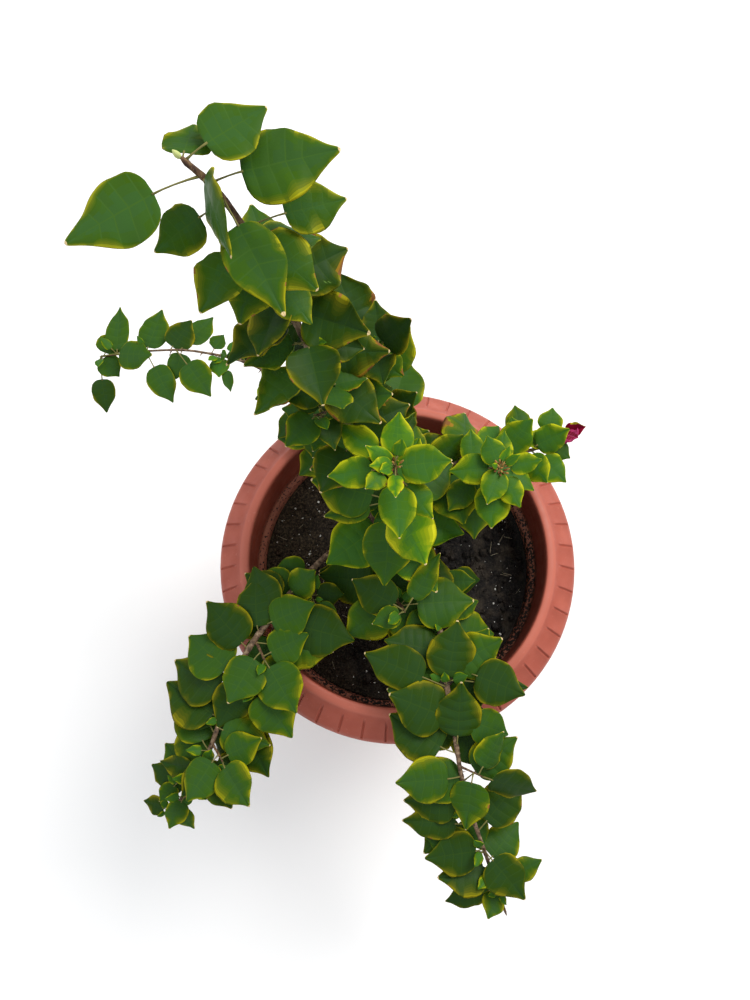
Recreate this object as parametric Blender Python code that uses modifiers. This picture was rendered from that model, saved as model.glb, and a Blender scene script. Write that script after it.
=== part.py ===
"""A bougainvillea bush in a round plastic pot with a broad, sloping rim.

Metres, +Z up. The origin is the middle of the pot's flat underside. The two branches
that weep over the rim reach towards -Y; the tall cane leans towards -X and +Y.

The pot and its filling are turned solids. A short trunk stands on the soil and forks
into eight limbs. Each limb follows one smooth route: its bare part is a bough, and its
leafy part is split into masses, whose stems follow on end to end. One seeded rule
places the leaves and the leafy twigs along a stem.
"""
import math
import random
from collections import namedtuple

import bmesh
import bpy
import numpy as np
from mathutils import Vector
from mathutils.bvhtree import BVHTree

# ---- colours -----------------------------------------------------------------------
LEAF_GREEN = (0.050, 0.130, 0.022)
BARK_BROWN = (0.110, 0.060, 0.032)
POT_TERRACOTTA = (0.440, 0.125, 0.080)
SOIL_BROWN = (0.020, 0.013, 0.008)

# ---- the pot and its filling -------------------------------------------------------
LIP_RADIUS = 0.200          # outside of the sloped rim, so the pot is 400 mm across
RIM_TOP = 0.335             # height of the rolled inner edge
LIP_TOP = 0.309             # height of the rim's outer lip
LIP_SKIRT = 0.010           # how far the lip turns down
WALL = 0.004                # thickness of the moulded plastic
MOUTH_RADIUS = 0.1624       # inside of the collar
COLLAR_FOOT = 0.274         # where the collar steps in to the tapering body
BODY_TOP_RADIUS = 0.1565    # inside of the body, under the step
BASE_RADIUS = 0.1165        # inside of the body at its floor
FLOOR = 0.006               # thickness of the pot's floor
SOIL_TOP = 0.262
POT_SEGMENTS = 48
GAP = 0.0003                # clearance between solids that touch on the real thing
END_RUN = 0.001             # the straight run at each end of a stem
BOUGH_SPACING = 0.012       # between the points of a bough's curve
STEM_SPACING = 0.016        # between the points of a leafy stem's curve
SHOOT_RADII = (0.0018, 0.0013)

# ---- the trunk ---------------------------------------------------------------------
TRUNK_FOOT = (-0.0130, 0.0120, SOIL_TOP + GAP)
TRUNK_TOP = (-0.0115, 0.0180, 0.3120)
TRUNK_RADIUS = 0.0088
FLARE_RADIUS = 0.0165       # the root flare, where the trunk meets the soil
FLARE_LOBES = 5
TRUNK_SIDES = 15

# ---- leaves ------------------------------------------------------------------------
GOLDEN = 137.5              # degrees from one leaf to the next round an upright stem
LIGHT = (0.0, -0.12, 1.0)   # the leaves turn their faces this way
LEAF_THICKNESS = 0.0012
LEAF_ROOM = 0.0006          # clearance round a leaf from the limbs and the other masses
BLADE_ROOM = 0.0004         # clearance round a blade from its own mass
POT_ROOM = 0.005            # how far leaves stay above the soil and the rim
PETIOLE_WIDTH = 0.0016
STATIONS = (0.14, 0.46)     # where a leaf's outline has its corners, as shares of its length
YOUNG_SHARE = 0.64          # past this share of a rosette its leaves are young and small
BRACT_SIZE = 0.021
BRACT_FAN = 58              # degrees from one bract to the next
TWIG_FORK = 62              # degrees between a twig and its stem
# A twig's leaves: share of its length, clock angle, sweep, and size beside a stem's leaf.
TWIG_LEAVES = ((0.58, 80, 70, 0.80), (0.78, -85, 75, 0.70), (0.95, 0, 15, 0.85))

Leaf = namedtuple("Leaf", "foot base aim face length width")

# ---- the limbs' routes, from inside the trunk's fork to their tips ------------------
ROUTES = {
    "tall": ((-0.012, 0.018, 0.287), (-0.0215, 0.0315, 0.318), (-0.026, 0.050, 0.370),
             (-0.041, 0.088, 0.465), (-0.068, 0.129, 0.555), (-0.094, 0.160, 0.650),
             (-0.115, 0.175, 0.712), (-0.136, 0.185, 0.740)),
    "middle": ((-0.011, 0.018, 0.282), (-0.0073, 0.0337, 0.306), (-0.006, 0.054, 0.360),
               (-0.006, 0.102, 0.420), (-0.016, 0.136, 0.470), (-0.026, 0.164, 0.515)),
    "left": ((-0.0125, 0.017, 0.280), (-0.0279, 0.0242, 0.292), (-0.054, 0.098, 0.335),
             (-0.090, 0.157, 0.358), (-0.142, 0.209, 0.370), (-0.212, 0.234, 0.370),
             (-0.271, 0.242, 0.362), (-0.335, 0.246, 0.345)),
    "centre": ((-0.0115, 0.0175, 0.300), (-0.0105, 0.0185, 0.340), (-0.006, 0.028, 0.440),
               (-0.003, 0.042, 0.525)),
    "right": ((-0.0115, 0.017, 0.284), (0.0034, 0.024, 0.298), (0.018, 0.046, 0.350),
              (0.040, 0.067, 0.405), (0.068, 0.077, 0.415), (0.105, 0.080, 0.420),
              (0.150, 0.090, 0.410), (0.180, 0.109, 0.397)),
    "rosette": ((0.068, 0.077, 0.415), (0.082, 0.062, 0.440), (0.096, 0.050, 0.475)),
    "front_left": ((-0.0125, 0.0155, 0.282), (-0.0279, 0.0099, 0.290), (-0.056, 0.016, 0.318),
                   (-0.085, -0.007, 0.342), (-0.130, -0.061, 0.362), (-0.167, -0.113, 0.362),
                   (-0.196, -0.181, 0.340), (-0.221, -0.228, 0.312), (-0.259, -0.260, 0.280)),
    "front_right": ((-0.0115, 0.015, 0.282), (0.0035, 0.0095, 0.292), (0.038, -0.009, 0.335),
                    (0.040, -0.055, 0.358), (0.039, -0.107, 0.372), (0.045, -0.175, 0.372),
                    (0.054, -0.243, 0.355), (0.076, -0.315, 0.320), (0.095, -0.373, 0.285)),
    "front": ((-0.0115, 0.016, 0.288), (-0.0101, -0.0002, 0.305), (-0.008, -0.042, 0.350),
              (0.003, -0.070, 0.390)),
}

# Each bough: its radius at the fork and at its tip, and the share of its route that is bare.
BOUGHS = {
    "tall": (0.0042, 0.0038, 0.34),
    "middle": (0.0028, 0.0025, 0.38),
    "left": (0.0020, 0.0018, 0.26),
    "centre": (0.0030, 0.0027, 0.34),
    "right": (0.0028, 0.0025, 0.42),
    "front_left": (0.0036, 0.0033, 0.26),
    "front_right": (0.0030, 0.0028, 0.20),
    "front": (0.0026, 0.0023, 0.36),
}

# Each mass of leaves takes a span of its limb's route, between two shares of its length.
# radius: the stem's at both ends. size: leaf length. sweep: degrees from the way the stem
# grows to the way a leaf points. step: from one node to the next. Pairs run from the
# mass's first node to its last. flatten: how far leaves lie down, from 0 to 1.
MASSES = {
    "tall_low": dict(route="tall", span=(0.34, 0.54), radius=(0.0038, 0.0034), pattern="spiral",
                     turn=40, seed=42, petiole=0.25, size=(0.052, 0.038), sweep=(105, 85),
                     step=(0.0087, 0.0101), flatten=0.7, twig_every=3, twig=0.03),
    "tall_middle": dict(route="tall", span=(0.54, 0.76), radius=(0.0034, 0.0031),
                        pattern="spiral", turn=10, seed=43, petiole=0.2, size=(0.055, 0.051),
                        sweep=(85, 100), step=(0.0085, 0.011), flatten=0.7, twig_every=4,
                        twig=0.03),
    "tall_top": dict(route="tall", span=(0.76, 1.0), radius=(0.0031, 0.0021), pattern="spiral",
                     turn=0, seed=45, size=(0.044, 0.044), sweep=(100, 95),
                     step=(0.0145, 0.0135), flatten=0.8, rise=(-12, -8), until=0.45),
    "middle_low": dict(route="middle", span=(0.38, 0.68), radius=(0.0025, 0.0022),
                       pattern="spiral", turn=60, seed=47, petiole=0.36, size=(0.062, 0.062),
                       sweep=(170, 65), step=(0.0099, 0.0114), flatten=0.5, twig_every=4,
                       twig=0.03),
    "middle_top": dict(route="middle", span=(0.68, 1.0), radius=(0.0022, 0.0017),
                       pattern="spiral", turn=60, seed=31, petiole=0.26, size=(0.042, 0.062),
                       sweep=(65, 25), step=(0.0148, 0.011), flatten=0.5, twig_every=4,
                       twig=0.025, crown=(5, 0.044, 20)),
    "left_low": dict(route="left", span=(0.26, 0.46), radius=(0.0018, 0.0017), pattern="spiral",
                     turn=0, seed=45, petiole=0.27, size=(0.04, 0.04), sweep=(85, 90),
                     step=(0.0095, 0.0117), flatten=0.7),
    "left_middle": dict(route="left", span=(0.46, 0.7), radius=(0.0017, 0.0014),
                        pattern="alternate", seed=37, petiole=0.14, size=(0.034, 0.036),
                        sweep=(75, 70), step=(0.013, 0.013), flatten=0.85, until=0.2),
    "left_tip": dict(route="left", span=(0.7, 1.0), radius=(0.0014, 0.001), seed=89, until=0.0),
    "centre_low": dict(route="centre", span=(0.34, 0.68), radius=(0.0027, 0.0024),
                       pattern="spiral", turn=20, seed=15, petiole=0.32, size=(0.058, 0.057),
                       sweep=(100, 80), step=(0.0109, 0.0096), flatten=0.3),
    "centre_rosette": dict(route="centre", span=(0.68, 1.0), radius=(0.0024, 0.0018),
                           pattern="spiral", turn=20, seed=34, petiole=0.22,
                           size=(0.055, 0.049), sweep=(90, 85), step=(0.0121, 0.014),
                           flatten=0.3, until=0.3),
    "right_rosette": dict(route="right", span=(0.42, 0.62), radius=(0.0025, 0.0022),
                          pattern="alternate", seed=32, petiole=0.36, size=(0.056, 0.056),
                          sweep=(45, 95), step=(0.0098, 0.0085), flatten=0.85, twig_every=3,
                          twig=0.028, shoot="rosette"),
    "right_tip": dict(route="right", span=(0.62, 1.0), radius=(0.0022, 0.0012),
                      pattern="alternate", seed=40, petiole=0.21, size=(0.044, 0.029),
                      sweep=(55, 65), step=(0.0091, 0.0085), flatten=0.8, until=0.6, bracts=2),
    "front_left_top": dict(route="front_left", span=(0.26, 0.5), radius=(0.0033, 0.0029),
                           pattern="alternate", seed=61, petiole=0.18, size=(0.036, 0.062),
                           sweep=(40, 160), step=(0.0122, 0.0085), flatten=0.88, twig_every=4,
                           twig=0.03),
    "front_left_middle": dict(route="front_left", span=(0.5, 0.76), radius=(0.0029, 0.0023),
                              pattern="alternate", seed=29, petiole=0.16, size=(0.059, 0.06),
                              sweep=(110, 125), step=(0.0145, 0.0086), flatten=0.88,
                              twig_every=4, twig=0.03),
    "front_left_tip": dict(route="front_left", span=(0.76, 1.0), radius=(0.0023, 0.0014),
                           pattern="alternate", seed=82, petiole=0.21, size=(0.05, 0.024),
                           sweep=(145, 50), step=(0.0085, 0.012), flatten=0.85, twig_every=5,
                           twig=0.02),
    "front_right_top": dict(route="front_right", span=(0.2, 0.38), radius=(0.0028, 0.0026),
                            pattern="alternate", seed=47, petiole=0.31, size=(0.04, 0.052),
                            sweep=(130, 90), step=(0.013, 0.0095), flatten=0.88, until=0.8),
    "front_right_middle": dict(route="front_right", span=(0.38, 0.59), radius=(0.0026, 0.0023),
                               pattern="alternate", seed=49, petiole=0.14, size=(0.056, 0.056),
                               sweep=(110, 145), step=(0.01, 0.011), flatten=0.88, until=0.75,
                               twig_every=4, twig=0.03),
    "front_right_low": dict(route="front_right", span=(0.59, 0.81), radius=(0.0023, 0.0019),
                            pattern="alternate", seed=53, petiole=0.25, size=(0.056, 0.056),
                            sweep=(120, 100), step=(0.012, 0.011), flatten=0.88, until=0.7,
                            twig_every=4, twig=0.03),
    "front_right_tip": dict(route="front_right", span=(0.81, 1.0), radius=(0.0019, 0.0013),
                            pattern="alternate", seed=81, petiole=0.16, size=(0.05, 0.042),
                            sweep=(105, 130), step=(0.0132, 0.016), flatten=0.88, until=0.4),
    "front_leaves": dict(route="front", span=(0.36, 1.0), radius=(0.0023, 0.0015),
                         pattern="spiral", turn=0, seed=42, petiole=0.27, size=(0.061, 0.054),
                         sweep=(100, 75), step=(0.0088, 0.0114), flatten=0.5),
}

# Leaves set one by one, where the plant's look hangs on them, by mass or by the side shoot
# that carries them: share of its span, compass bearing of the tip (0 is +X, 90 is +Y), rise
# and roll in degrees, length, width as a share of the length, and petiole.
SET_LEAVES = {
    "tall_top": (
        (0.86, 206, -6, 0, 0.066, 0.70, 0.033),
        (0.985, 84, -16, 0, 0.034, 0.96, 0.005),
        (0.97, 32, 3, 0, 0.047, 0.86, 0.017),
        (0.80, 12, 0, 0, 0.067, 0.76, 0.022),
        (0.46, 16, -5, 0, 0.046, 0.80, 0.030),
        (0.70, 295, -6, 0, 0.068, 0.54, 0.026),
        (0.85, 285, -10, 72, 0.060, 0.75, 0.004),
        (0.66, 208, -14, 0, 0.040, 0.86, 0.020),
        (0.42, 236, -16, 10, 0.046, 0.85, 0.020),
        (0.44, 318, -8, 8, 0.052, 0.80, 0.014),
    ),
    "left_tip": (
        (0.83, 93, -8, 0, 0.064, 0.40, 0.005),
        (0.96, 74, 12, 0, 0.034, 0.88, 0.004),
        (0.985, -50, -2, 0, 0.029, 0.90, 0.004),
        (0.985, -88, -20, 0, 0.039, 0.68, 0.027),
        (0.55, 75, -6, 0, 0.053, 0.62, 0.004),
        (0.34, 52, 8, 0, 0.038, 0.88, 0.004),
        (0.25, 57, -10, 0, 0.049, 0.60, 0.013),
        (0.985, -11, 8, 0, 0.043, 0.78, 0.030),
        (0.56, -63, -8, 0, 0.048, 0.61, 0.023),
        (0.24, -109, -22, 0, 0.030, 0.88, 0.004),
        (0.29, -56, 4, 0, 0.049, 0.68, 0.026),
    ),
    "left_middle": (
        (0.985, 58, 0, 0, 0.021, 0.90, 0.006),
        (0.90, -89, 6, 0, 0.024, 0.90, 0.004),
        (0.86, -79, -12, 0, 0.025, 0.50, 0.018),
        (0.79, 73, -6, 0, 0.020, 0.65, 0.006),
        (0.72, 35, -12, 0, 0.040, 0.60, 0.005),
        (0.63, 13, 2, 0, 0.034, 0.66, 0.004),
        (0.44, -81, -8, 0, 0.030, 0.60, 0.019),
    ),
    "centre_low": ((0.95, -171, -8, 0, 0.046, 0.56, 0.022),),
    "centre_rosette": (
        (0.86, 83, 8, 0, 0.037, 0.76, 0.015),
        (0.94, 3, 6, 0, 0.045, 0.74, 0.005),
        (0.89, -175, 2, 0, 0.040, 0.68, 0.020),
        (0.84, 136, -4, 0, 0.044, 0.58, 0.024),
        (0.80, -89, 4, 0, 0.048, 0.66, 0.014),
        (0.82, -54, -6, 0, 0.038, 0.68, 0.016),
        (0.95, 150, 30, 0, 0.030, 0.52, 0.004),
        (0.98, 70, 45, 0, 0.019, 0.62, 0.009),
        (0.95, -137, 28, 0, 0.024, 0.70, 0.018),
        (0.97, -93, 36, 0, 0.030, 0.46, 0.016),
    ),
    "rosette": (
        (0.98, 109, 10, 0, 0.028, 0.82, 0.005),
        (0.86, -178, 4, 0, 0.038, 0.75, 0.006),
        (0.98, 7, 6, 0, 0.030, 0.66, 0.010),
        (0.98, -113, 4, 0, 0.035, 0.69, 0.003),
        (0.93, -65, -4, 0, 0.031, 0.75, 0.012),
        (0.85, -97, -6, 0, 0.042, 0.78, 0.016),
        (0.49, -130, -4, 0, 0.036, 0.69, 0.019),
        (0.95, 77, 0, 0, 0.031, 0.69, 0.007),
        (0.28, 89, 0, 0, 0.036, 0.63, 0.004),
    ),
    "right_tip": (
        (0.47, 105, 12, 0, 0.027, 0.94, 0.011),
        (0.49, 94, -4, 0, 0.033, 0.79, 0.020),
        (0.93, -163, 14, 0, 0.032, 0.64, 0.020),
        (0.74, 77, 10, 0, 0.025, 0.99, 0.015),
        (0.78, -22, -14, 0, 0.024, 0.92, 0.003),
        (0.56, -46, -4, 0, 0.035, 0.82, 0.014),
    ),
    "front_leaves": (
        (0.02, 42, 8, 0, 0.058, 0.62, 0.025),
        (0.10, 130, 10, 0, 0.056, 0.44, 0.004),
        (0.02, 163, 2, 0, 0.055, 0.70, 0.023),
        (0.985, 55, 16, 0, 0.054, 0.42, 0.016),
        (0.75, 169, 10, 0, 0.036, 0.90, 0.004),
        (0.985, -162, 0, 0, 0.030, 0.72, 0.005),
    ),
    "front_right_top": (
        (0.16, -1, 4, 0, 0.032, 0.76, 0.008),
        (0.66, -158, 4, 0, 0.037, 0.95, 0.007),
        (0.63, 20, -4, 0, 0.031, 0.75, 0.013),
    ),
    "front_right_middle": (
        (0.25, 27, 8, 0, 0.054, 0.82, 0.013),
        (0.40, 156, 2, 0, 0.064, 0.64, 0.026),
        (0.70, 154, -4, 0, 0.055, 0.66, 0.016),
        (0.985, 84, 20, 0, 0.056, 0.75, 0.012),
        (0.65, -23, -8, 0, 0.038, 0.90, 0.023),
        (0.32, -8, -8, 0, 0.053, 0.54, 0.030),
    ),
    "front_right_low": (
        (0.36, 138, 4, 0, 0.055, 0.76, 0.004),
        (0.31, 35, 2, 0, 0.054, 0.71, 0.016),
        (0.84, 45, -2, 0, 0.058, 0.68, 0.013),
        (0.76, 175, -4, 0, 0.054, 0.59, 0.019),
    ),
    "front_right_tip": (
        (0.10, 164, 4, 0, 0.049, 0.69, 0.014),
        (0.06, -52, -8, 0, 0.050, 0.76, 0.012),
        (0.54, 23, -4, 0, 0.035, 0.67, 0.019),
        (0.55, 160, 4, 0, 0.040, 0.63, 0.005),
        (0.58, -165, -10, 0, 0.043, 0.54, 0.013),
        (0.62, -102, -10, 0, 0.026, 0.85, 0.003),
    ),
    "front_left_top": (
        (0.68, -17, 0, 0, 0.064, 0.77, 0.027),
        (0.96, -9, -6, 0, 0.062, 0.68, 0.022),
    ),
}


def unit(v):
    return v / np.linalg.norm(v)


def blend(pair, t):
    return pair[0] + (pair[1] - pair[0]) * t


def turned(v, axis, degrees):
    """The vector v turned about an axis."""
    angle = math.radians(degrees)
    return (v * math.cos(angle) + np.cross(axis, v) * math.sin(angle)
            + axis * (axis @ v) * (1 - math.cos(angle)))


class Route:
    """A smooth curve through a limb's points, read by the distance along it."""

    PIECES = 16

    def __init__(self, points):
        knots = [np.array(p) for p in points]
        knots = [2 * knots[0] - knots[1]] + knots + [2 * knots[-1] - knots[-2]]
        dense = []
        for a, b, c, d in zip(knots, knots[1:], knots[2:], knots[3:]):
            for k in range(self.PIECES):
                t = k / self.PIECES
                bend = 2 * a - 5 * b + 4 * c - d + t * (3 * b - a - 3 * c + d)
                dense.append(b + 0.5 * t * (c - a + t * bend))
        dense.append(knots[-2])
        self.points = np.array(dense)
        steps = np.linalg.norm(np.diff(self.points, axis=0), axis=1)
        self.along = np.concatenate([[0.0], np.cumsum(steps)])
        self.length = self.along[-1]

    def at(self, s):
        return np.array([np.interp(s, self.along, self.points[:, k]) for k in range(3)])

    def heading(self, s):
        reach = 0.003
        return unit(self.at(min(s + reach, self.length)) - self.at(max(s - reach, 0.0)))


# ---- the rule that places leaves and twigs -----------------------------------------
UP = np.array((0.0, 0.0, 1.0))
LIGHT_WAY = np.array(LIGHT)


def stem_frame(heading):
    """The stem's right-hand side and its upper side."""
    upright = abs(heading[2]) > 0.96
    side = unit(np.cross(heading, (0.0, -1.0, 0.0) if upright else UP))
    return side, np.cross(side, heading)


def facing_light(aim, roll):
    face = unit(LIGHT_WAY - (LIGHT_WAY @ aim) * aim)
    return turned(face, aim, roll)


def leaf_on_stem(foot, heading, clock, sweep, rise, roll, length, width, petiole, flatten):
    side, over = stem_frame(heading)
    a = math.radians(clock)
    b = math.radians(sweep)
    out = side * math.sin(a) + over * math.cos(a)
    aim = heading * math.cos(b) + out * math.sin(b)
    aim[2] = aim[2] * (1 - flatten) + math.sin(math.radians(rise))
    aim = unit(aim)
    lean = unit(0.75 * aim + 0.35 * out + 0.25 * UP)
    return Leaf(foot, foot + lean * petiole, aim, facing_light(aim, roll), length, width * length)


def leaf_by_compass(foot, bearing, rise, roll, length, width, petiole):
    a = math.radians(bearing)
    b = math.radians(rise)
    aim = np.array((math.cos(a) * math.cos(b), math.sin(a) * math.cos(b), math.sin(b)))
    base = foot + unit(aim + 0.2 * UP) * petiole
    return Leaf(foot, base, aim, facing_light(aim, roll), length, width * length)


def twig_with_leaves(rng, foot, heading, clock, rise, roll, size, width, mass):
    """A side twig and its three leaves: one on each side and one at the tip."""
    side, over = stem_frame(heading)
    a = math.radians(clock)
    b = math.radians(TWIG_FORK)
    aim = unit(heading * math.cos(b) + (side * math.sin(a) + over * math.cos(a)) * math.sin(b)
               + 0.25 * UP)
    reach = mass["twig"] * rng.uniform(0.8, 1.25)
    leaves = []
    for share, turn, sweep, scale in TWIG_LEAVES:
        leaves.append(leaf_on_stem(foot + aim * reach * share, aim, turn + rng.uniform(-20, 20),
                                   sweep + rng.uniform(-15, 15), rise,
                                   roll + rng.uniform(-10, 10), size * scale, width,
                                   size * scale * 0.2, mass["flatten"]))
    return (foot, foot + aim * reach), leaves


def crown_leaves(rng, route, end, crown):
    """A rosette at a stem's tip, whose inner leaves are smaller and stand up more."""
    count, size, turn = crown
    leaves = []
    for k in range(count):
        inward = k / (count - 1)
        young = max(inward - YOUNG_SHARE, 0) / (1 - YOUNG_SHARE)
        s = end - 0.002 - 0.014 * (1 - inward)
        length = size * (1 - 0.12 * inward) * (0.56 - 0.22 * young if young else 1)
        length *= rng.uniform(0.94, 1.06)
        leaves.append(leaf_on_stem(route.at(s), route.heading(s), turn + GOLDEN * k,
                                   86 - 40 * young + rng.uniform(-6, 6), 2 + 10 * inward,
                                   rng.uniform(-8, 8), length, rng.uniform(0.74, 0.84),
                                   length * (0.26 - 0.16 * inward), 0.0))
    return leaves


def side_of_node(rng, mass, k):
    """The clock angle of node k round the stem: 90 is its right-hand side, 0 its top."""
    if mass["pattern"] == "spiral":
        return mass["turn"] + GOLDEN * k + rng.uniform(-12, 12)
    hand = 1 if k % 2 == 0 else -1
    clock = hand * 90 + rng.uniform(-30, 30)
    if k % 4 == 3:
        clock = rng.uniform(-25, 25)
    elif k % 7 == 5:
        clock = 180 + rng.uniform(-30, 30)
    return clock


def grow(route, start, end, mass):
    """The twigs (pairs of points) and leaves of a mass, by its own seeded rule."""
    rng = random.Random(mass["seed"])
    twigs = []
    leaves = []
    last = start + (end - start) * mass.get("until", 1.0) - 0.002
    s = start + 0.004
    k = 0
    while s < last:
        t = (s - start) / (end - start)
        foot = route.at(s)
        heading = route.heading(s)
        clock = side_of_node(rng, mass, k)
        sweep = blend(mass["sweep"], t) + rng.uniform(-14, 14)
        rise = blend(mass.get("rise", (-4, -4)), t) + rng.uniform(-16, 14)
        roll = rng.uniform(-28, 28)
        size = blend(mass["size"], t) * rng.uniform(0.84, 1.1)
        width = rng.uniform(0.76, 0.88)
        petiole = size * mass.get("petiole", 0.22) * rng.uniform(0.75, 1.25)
        if "twig" in mass and k % mass["twig_every"] == 1:
            twig, pair = twig_with_leaves(rng, foot, heading, clock, rise, roll, size, width, mass)
            twigs.append(twig)
            leaves += pair
        else:
            leaves.append(leaf_on_stem(foot, heading, clock, sweep, rise, roll, size, width,
                                       petiole, mass["flatten"]))
        s += blend(mass["step"], t) * rng.uniform(0.85, 1.15)
        k += 1
    if "crown" in mass:
        leaves += crown_leaves(rng, route, end, mass["crown"])
    return twigs, leaves


# ---- Blender objects ---------------------------------------------------------------
def clear_scene():
    for obj in list(bpy.data.objects):
        bpy.data.objects.remove(obj, do_unlink=True)


def new_collection(name):
    collection = bpy.data.collections.new(name)
    bpy.context.scene.collection.children.link(collection)
    return collection


def make_material(name, colour, roughness):
    material = bpy.data.materials.new(name)
    material.use_nodes = True
    shader = material.node_tree.nodes["Principled BSDF"]
    shader.inputs["Base Color"].default_value = (*colour, 1.0)
    shader.inputs["Roughness"].default_value = roughness
    shader.inputs["Metallic"].default_value = 0.0
    return material


def add_object(name, mesh, collection):
    obj = bpy.data.objects.new(name, mesh)
    collection.objects.link(obj)
    return obj


def add_mesh(name, verts, faces, collection):
    mesh = bpy.data.meshes.new(name)
    mesh.from_pydata([tuple(v) for v in verts], [], faces)
    return add_object(name, mesh, collection)


def finish(obj, colour, roughness):
    obj.data.materials.clear()
    obj.data.materials.append(make_material(obj.name, colour, roughness))


def shade_round(obj):
    """Shade a round piece smooth, but for its end faces."""
    for face in obj.data.polygons:
        face.use_smooth = len(face.vertices) <= 4


def add_turned(name, profile, collection):
    """A solid of revolution about Z. The profile starts on the axis and ends on it."""
    verts = [(radius, 0.0, height) for radius, height in profile]
    mesh = bpy.data.meshes.new(name)
    mesh.from_pydata(verts, [(k, k + 1) for k in range(len(verts) - 1)], [])
    obj = add_object(name, mesh, collection)
    screw = obj.modifiers.new("turn", "SCREW")
    screw.steps = POT_SEGMENTS
    screw.render_steps = POT_SEGMENTS
    screw.use_merge_vertices = True
    screw.merge_threshold = 0.00001
    screw.use_smooth_shade = True
    return obj


def add_tube(name, points, radii, collection, resolution=1):
    """A curve tube through the points, with a radius at each and filled ends."""
    curve = bpy.data.curves.new(name, "CURVE")
    curve.dimensions = "3D"
    curve.bevel_depth = 1.0
    curve.bevel_resolution = resolution
    curve.use_fill_caps = True
    spline = curve.splines.new("POLY")
    spline.points.add(len(points) - 1)
    for point, place, radius in zip(spline.points, points, radii):
        point.co = (*place, 1.0)
        point.radius = radius
    return add_object(name, curve, collection)


def as_mesh(obj, collection):
    """Swap an object for the closed mesh that its curve or modifiers make."""
    depsgraph = bpy.context.evaluated_depsgraph_get()
    mesh = bpy.data.meshes.new_from_object(obj.evaluated_get(depsgraph))
    mesh.transform(obj.matrix_world)
    name = obj.name
    bpy.data.objects.remove(obj, do_unlink=True)
    bm = bmesh.new()
    bm.from_mesh(mesh)
    bmesh.ops.remove_doubles(bm, verts=bm.verts, dist=0.000005)
    bmesh.ops.recalc_face_normals(bm, faces=bm.faces)
    bm.to_mesh(mesh)
    bm.free()
    return add_object(name, mesh, collection)


# ---- pot, filling and trunk --------------------------------------------------------
def pot_profile():
    """From the middle of the floor up the inside, over the rim and down the outside."""
    roll = MOUTH_RADIUS + 0.0048
    slope_top = (0.1755, RIM_TOP - 0.0052)
    under = LIP_TOP - 0.0038
    return [
        (0.0, FLOOR),
        (BASE_RADIUS - 0.004, FLOOR),
        (BASE_RADIUS, FLOOR + 0.004),
        (BODY_TOP_RADIUS, COLLAR_FOOT - 0.008),
        (MOUTH_RADIUS - 0.0004, COLLAR_FOOT - 0.002),
        (MOUTH_RADIUS, COLLAR_FOOT),
        (MOUTH_RADIUS, RIM_TOP - 0.0050),
        (MOUTH_RADIUS + 0.0014, RIM_TOP - 0.0016),
        (roll, RIM_TOP),
        (roll + 0.0040, RIM_TOP - 0.0014),
        slope_top,
        (LIP_RADIUS - 0.0035, LIP_TOP + 0.0024),
        (LIP_RADIUS - 0.0008, LIP_TOP - 0.0004),
        (LIP_RADIUS, LIP_TOP - 0.0030),
        (LIP_RADIUS, LIP_TOP - LIP_SKIRT),
        (LIP_RADIUS - 0.0035, LIP_TOP - LIP_SKIRT),
        (LIP_RADIUS - 0.0035, under),
        (MOUTH_RADIUS + WALL + 0.0040, RIM_TOP - 0.0070),
        (MOUTH_RADIUS + WALL, RIM_TOP - 0.0100),
        (MOUTH_RADIUS + WALL, COLLAR_FOOT - 0.004),
        (BODY_TOP_RADIUS + WALL + 0.0006, COLLAR_FOOT - 0.010),
        (BASE_RADIUS + WALL + 0.0006, 0.003),
        (BASE_RADIUS + WALL - 0.0020, 0.0),
        (0.0, 0.0),
    ]


def soil_profile():
    """The filling: level on top, sloping off a little at its edge, and clear of the wall."""
    taper = (BODY_TOP_RADIUS - BASE_RADIUS) / (COLLAR_FOOT - 0.008 - FLOOR - 0.004)
    edge = SOIL_TOP - 0.004
    wall_there = BODY_TOP_RADIUS - taper * (COLLAR_FOOT - 0.008 - edge)
    return [
        (0.0, SOIL_TOP),
        (0.120, SOIL_TOP),
        (0.146, SOIL_TOP - 0.001),
        (wall_there - GAP, edge),
        (BASE_RADIUS - GAP, FLOOR + 0.0042),
        (BASE_RADIUS - 0.0042, FLOOR + GAP),
        (0.0, FLOOR + GAP),
    ]


def trunk_rings(spare):
    """Height share, radius and lobe depth of each ring, grown by spare all round."""
    return [
        (0.00, FLARE_RADIUS + spare, 0.20),
        (0.06, FLARE_RADIUS * 0.86 + spare, 0.17),
        (0.16, FLARE_RADIUS * 0.70 + spare, 0.11),
        (0.34, TRUNK_RADIUS * 1.08 + spare, 0.05),
        (0.62, TRUNK_RADIUS + spare, 0.02),
        (0.86, TRUNK_RADIUS * 0.97 + spare, 0.00),
        (0.95, TRUNK_RADIUS * 0.82 + spare, 0.00),
        (1.00, TRUNK_RADIUS * 0.45 + spare, 0.00),
    ]


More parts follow.
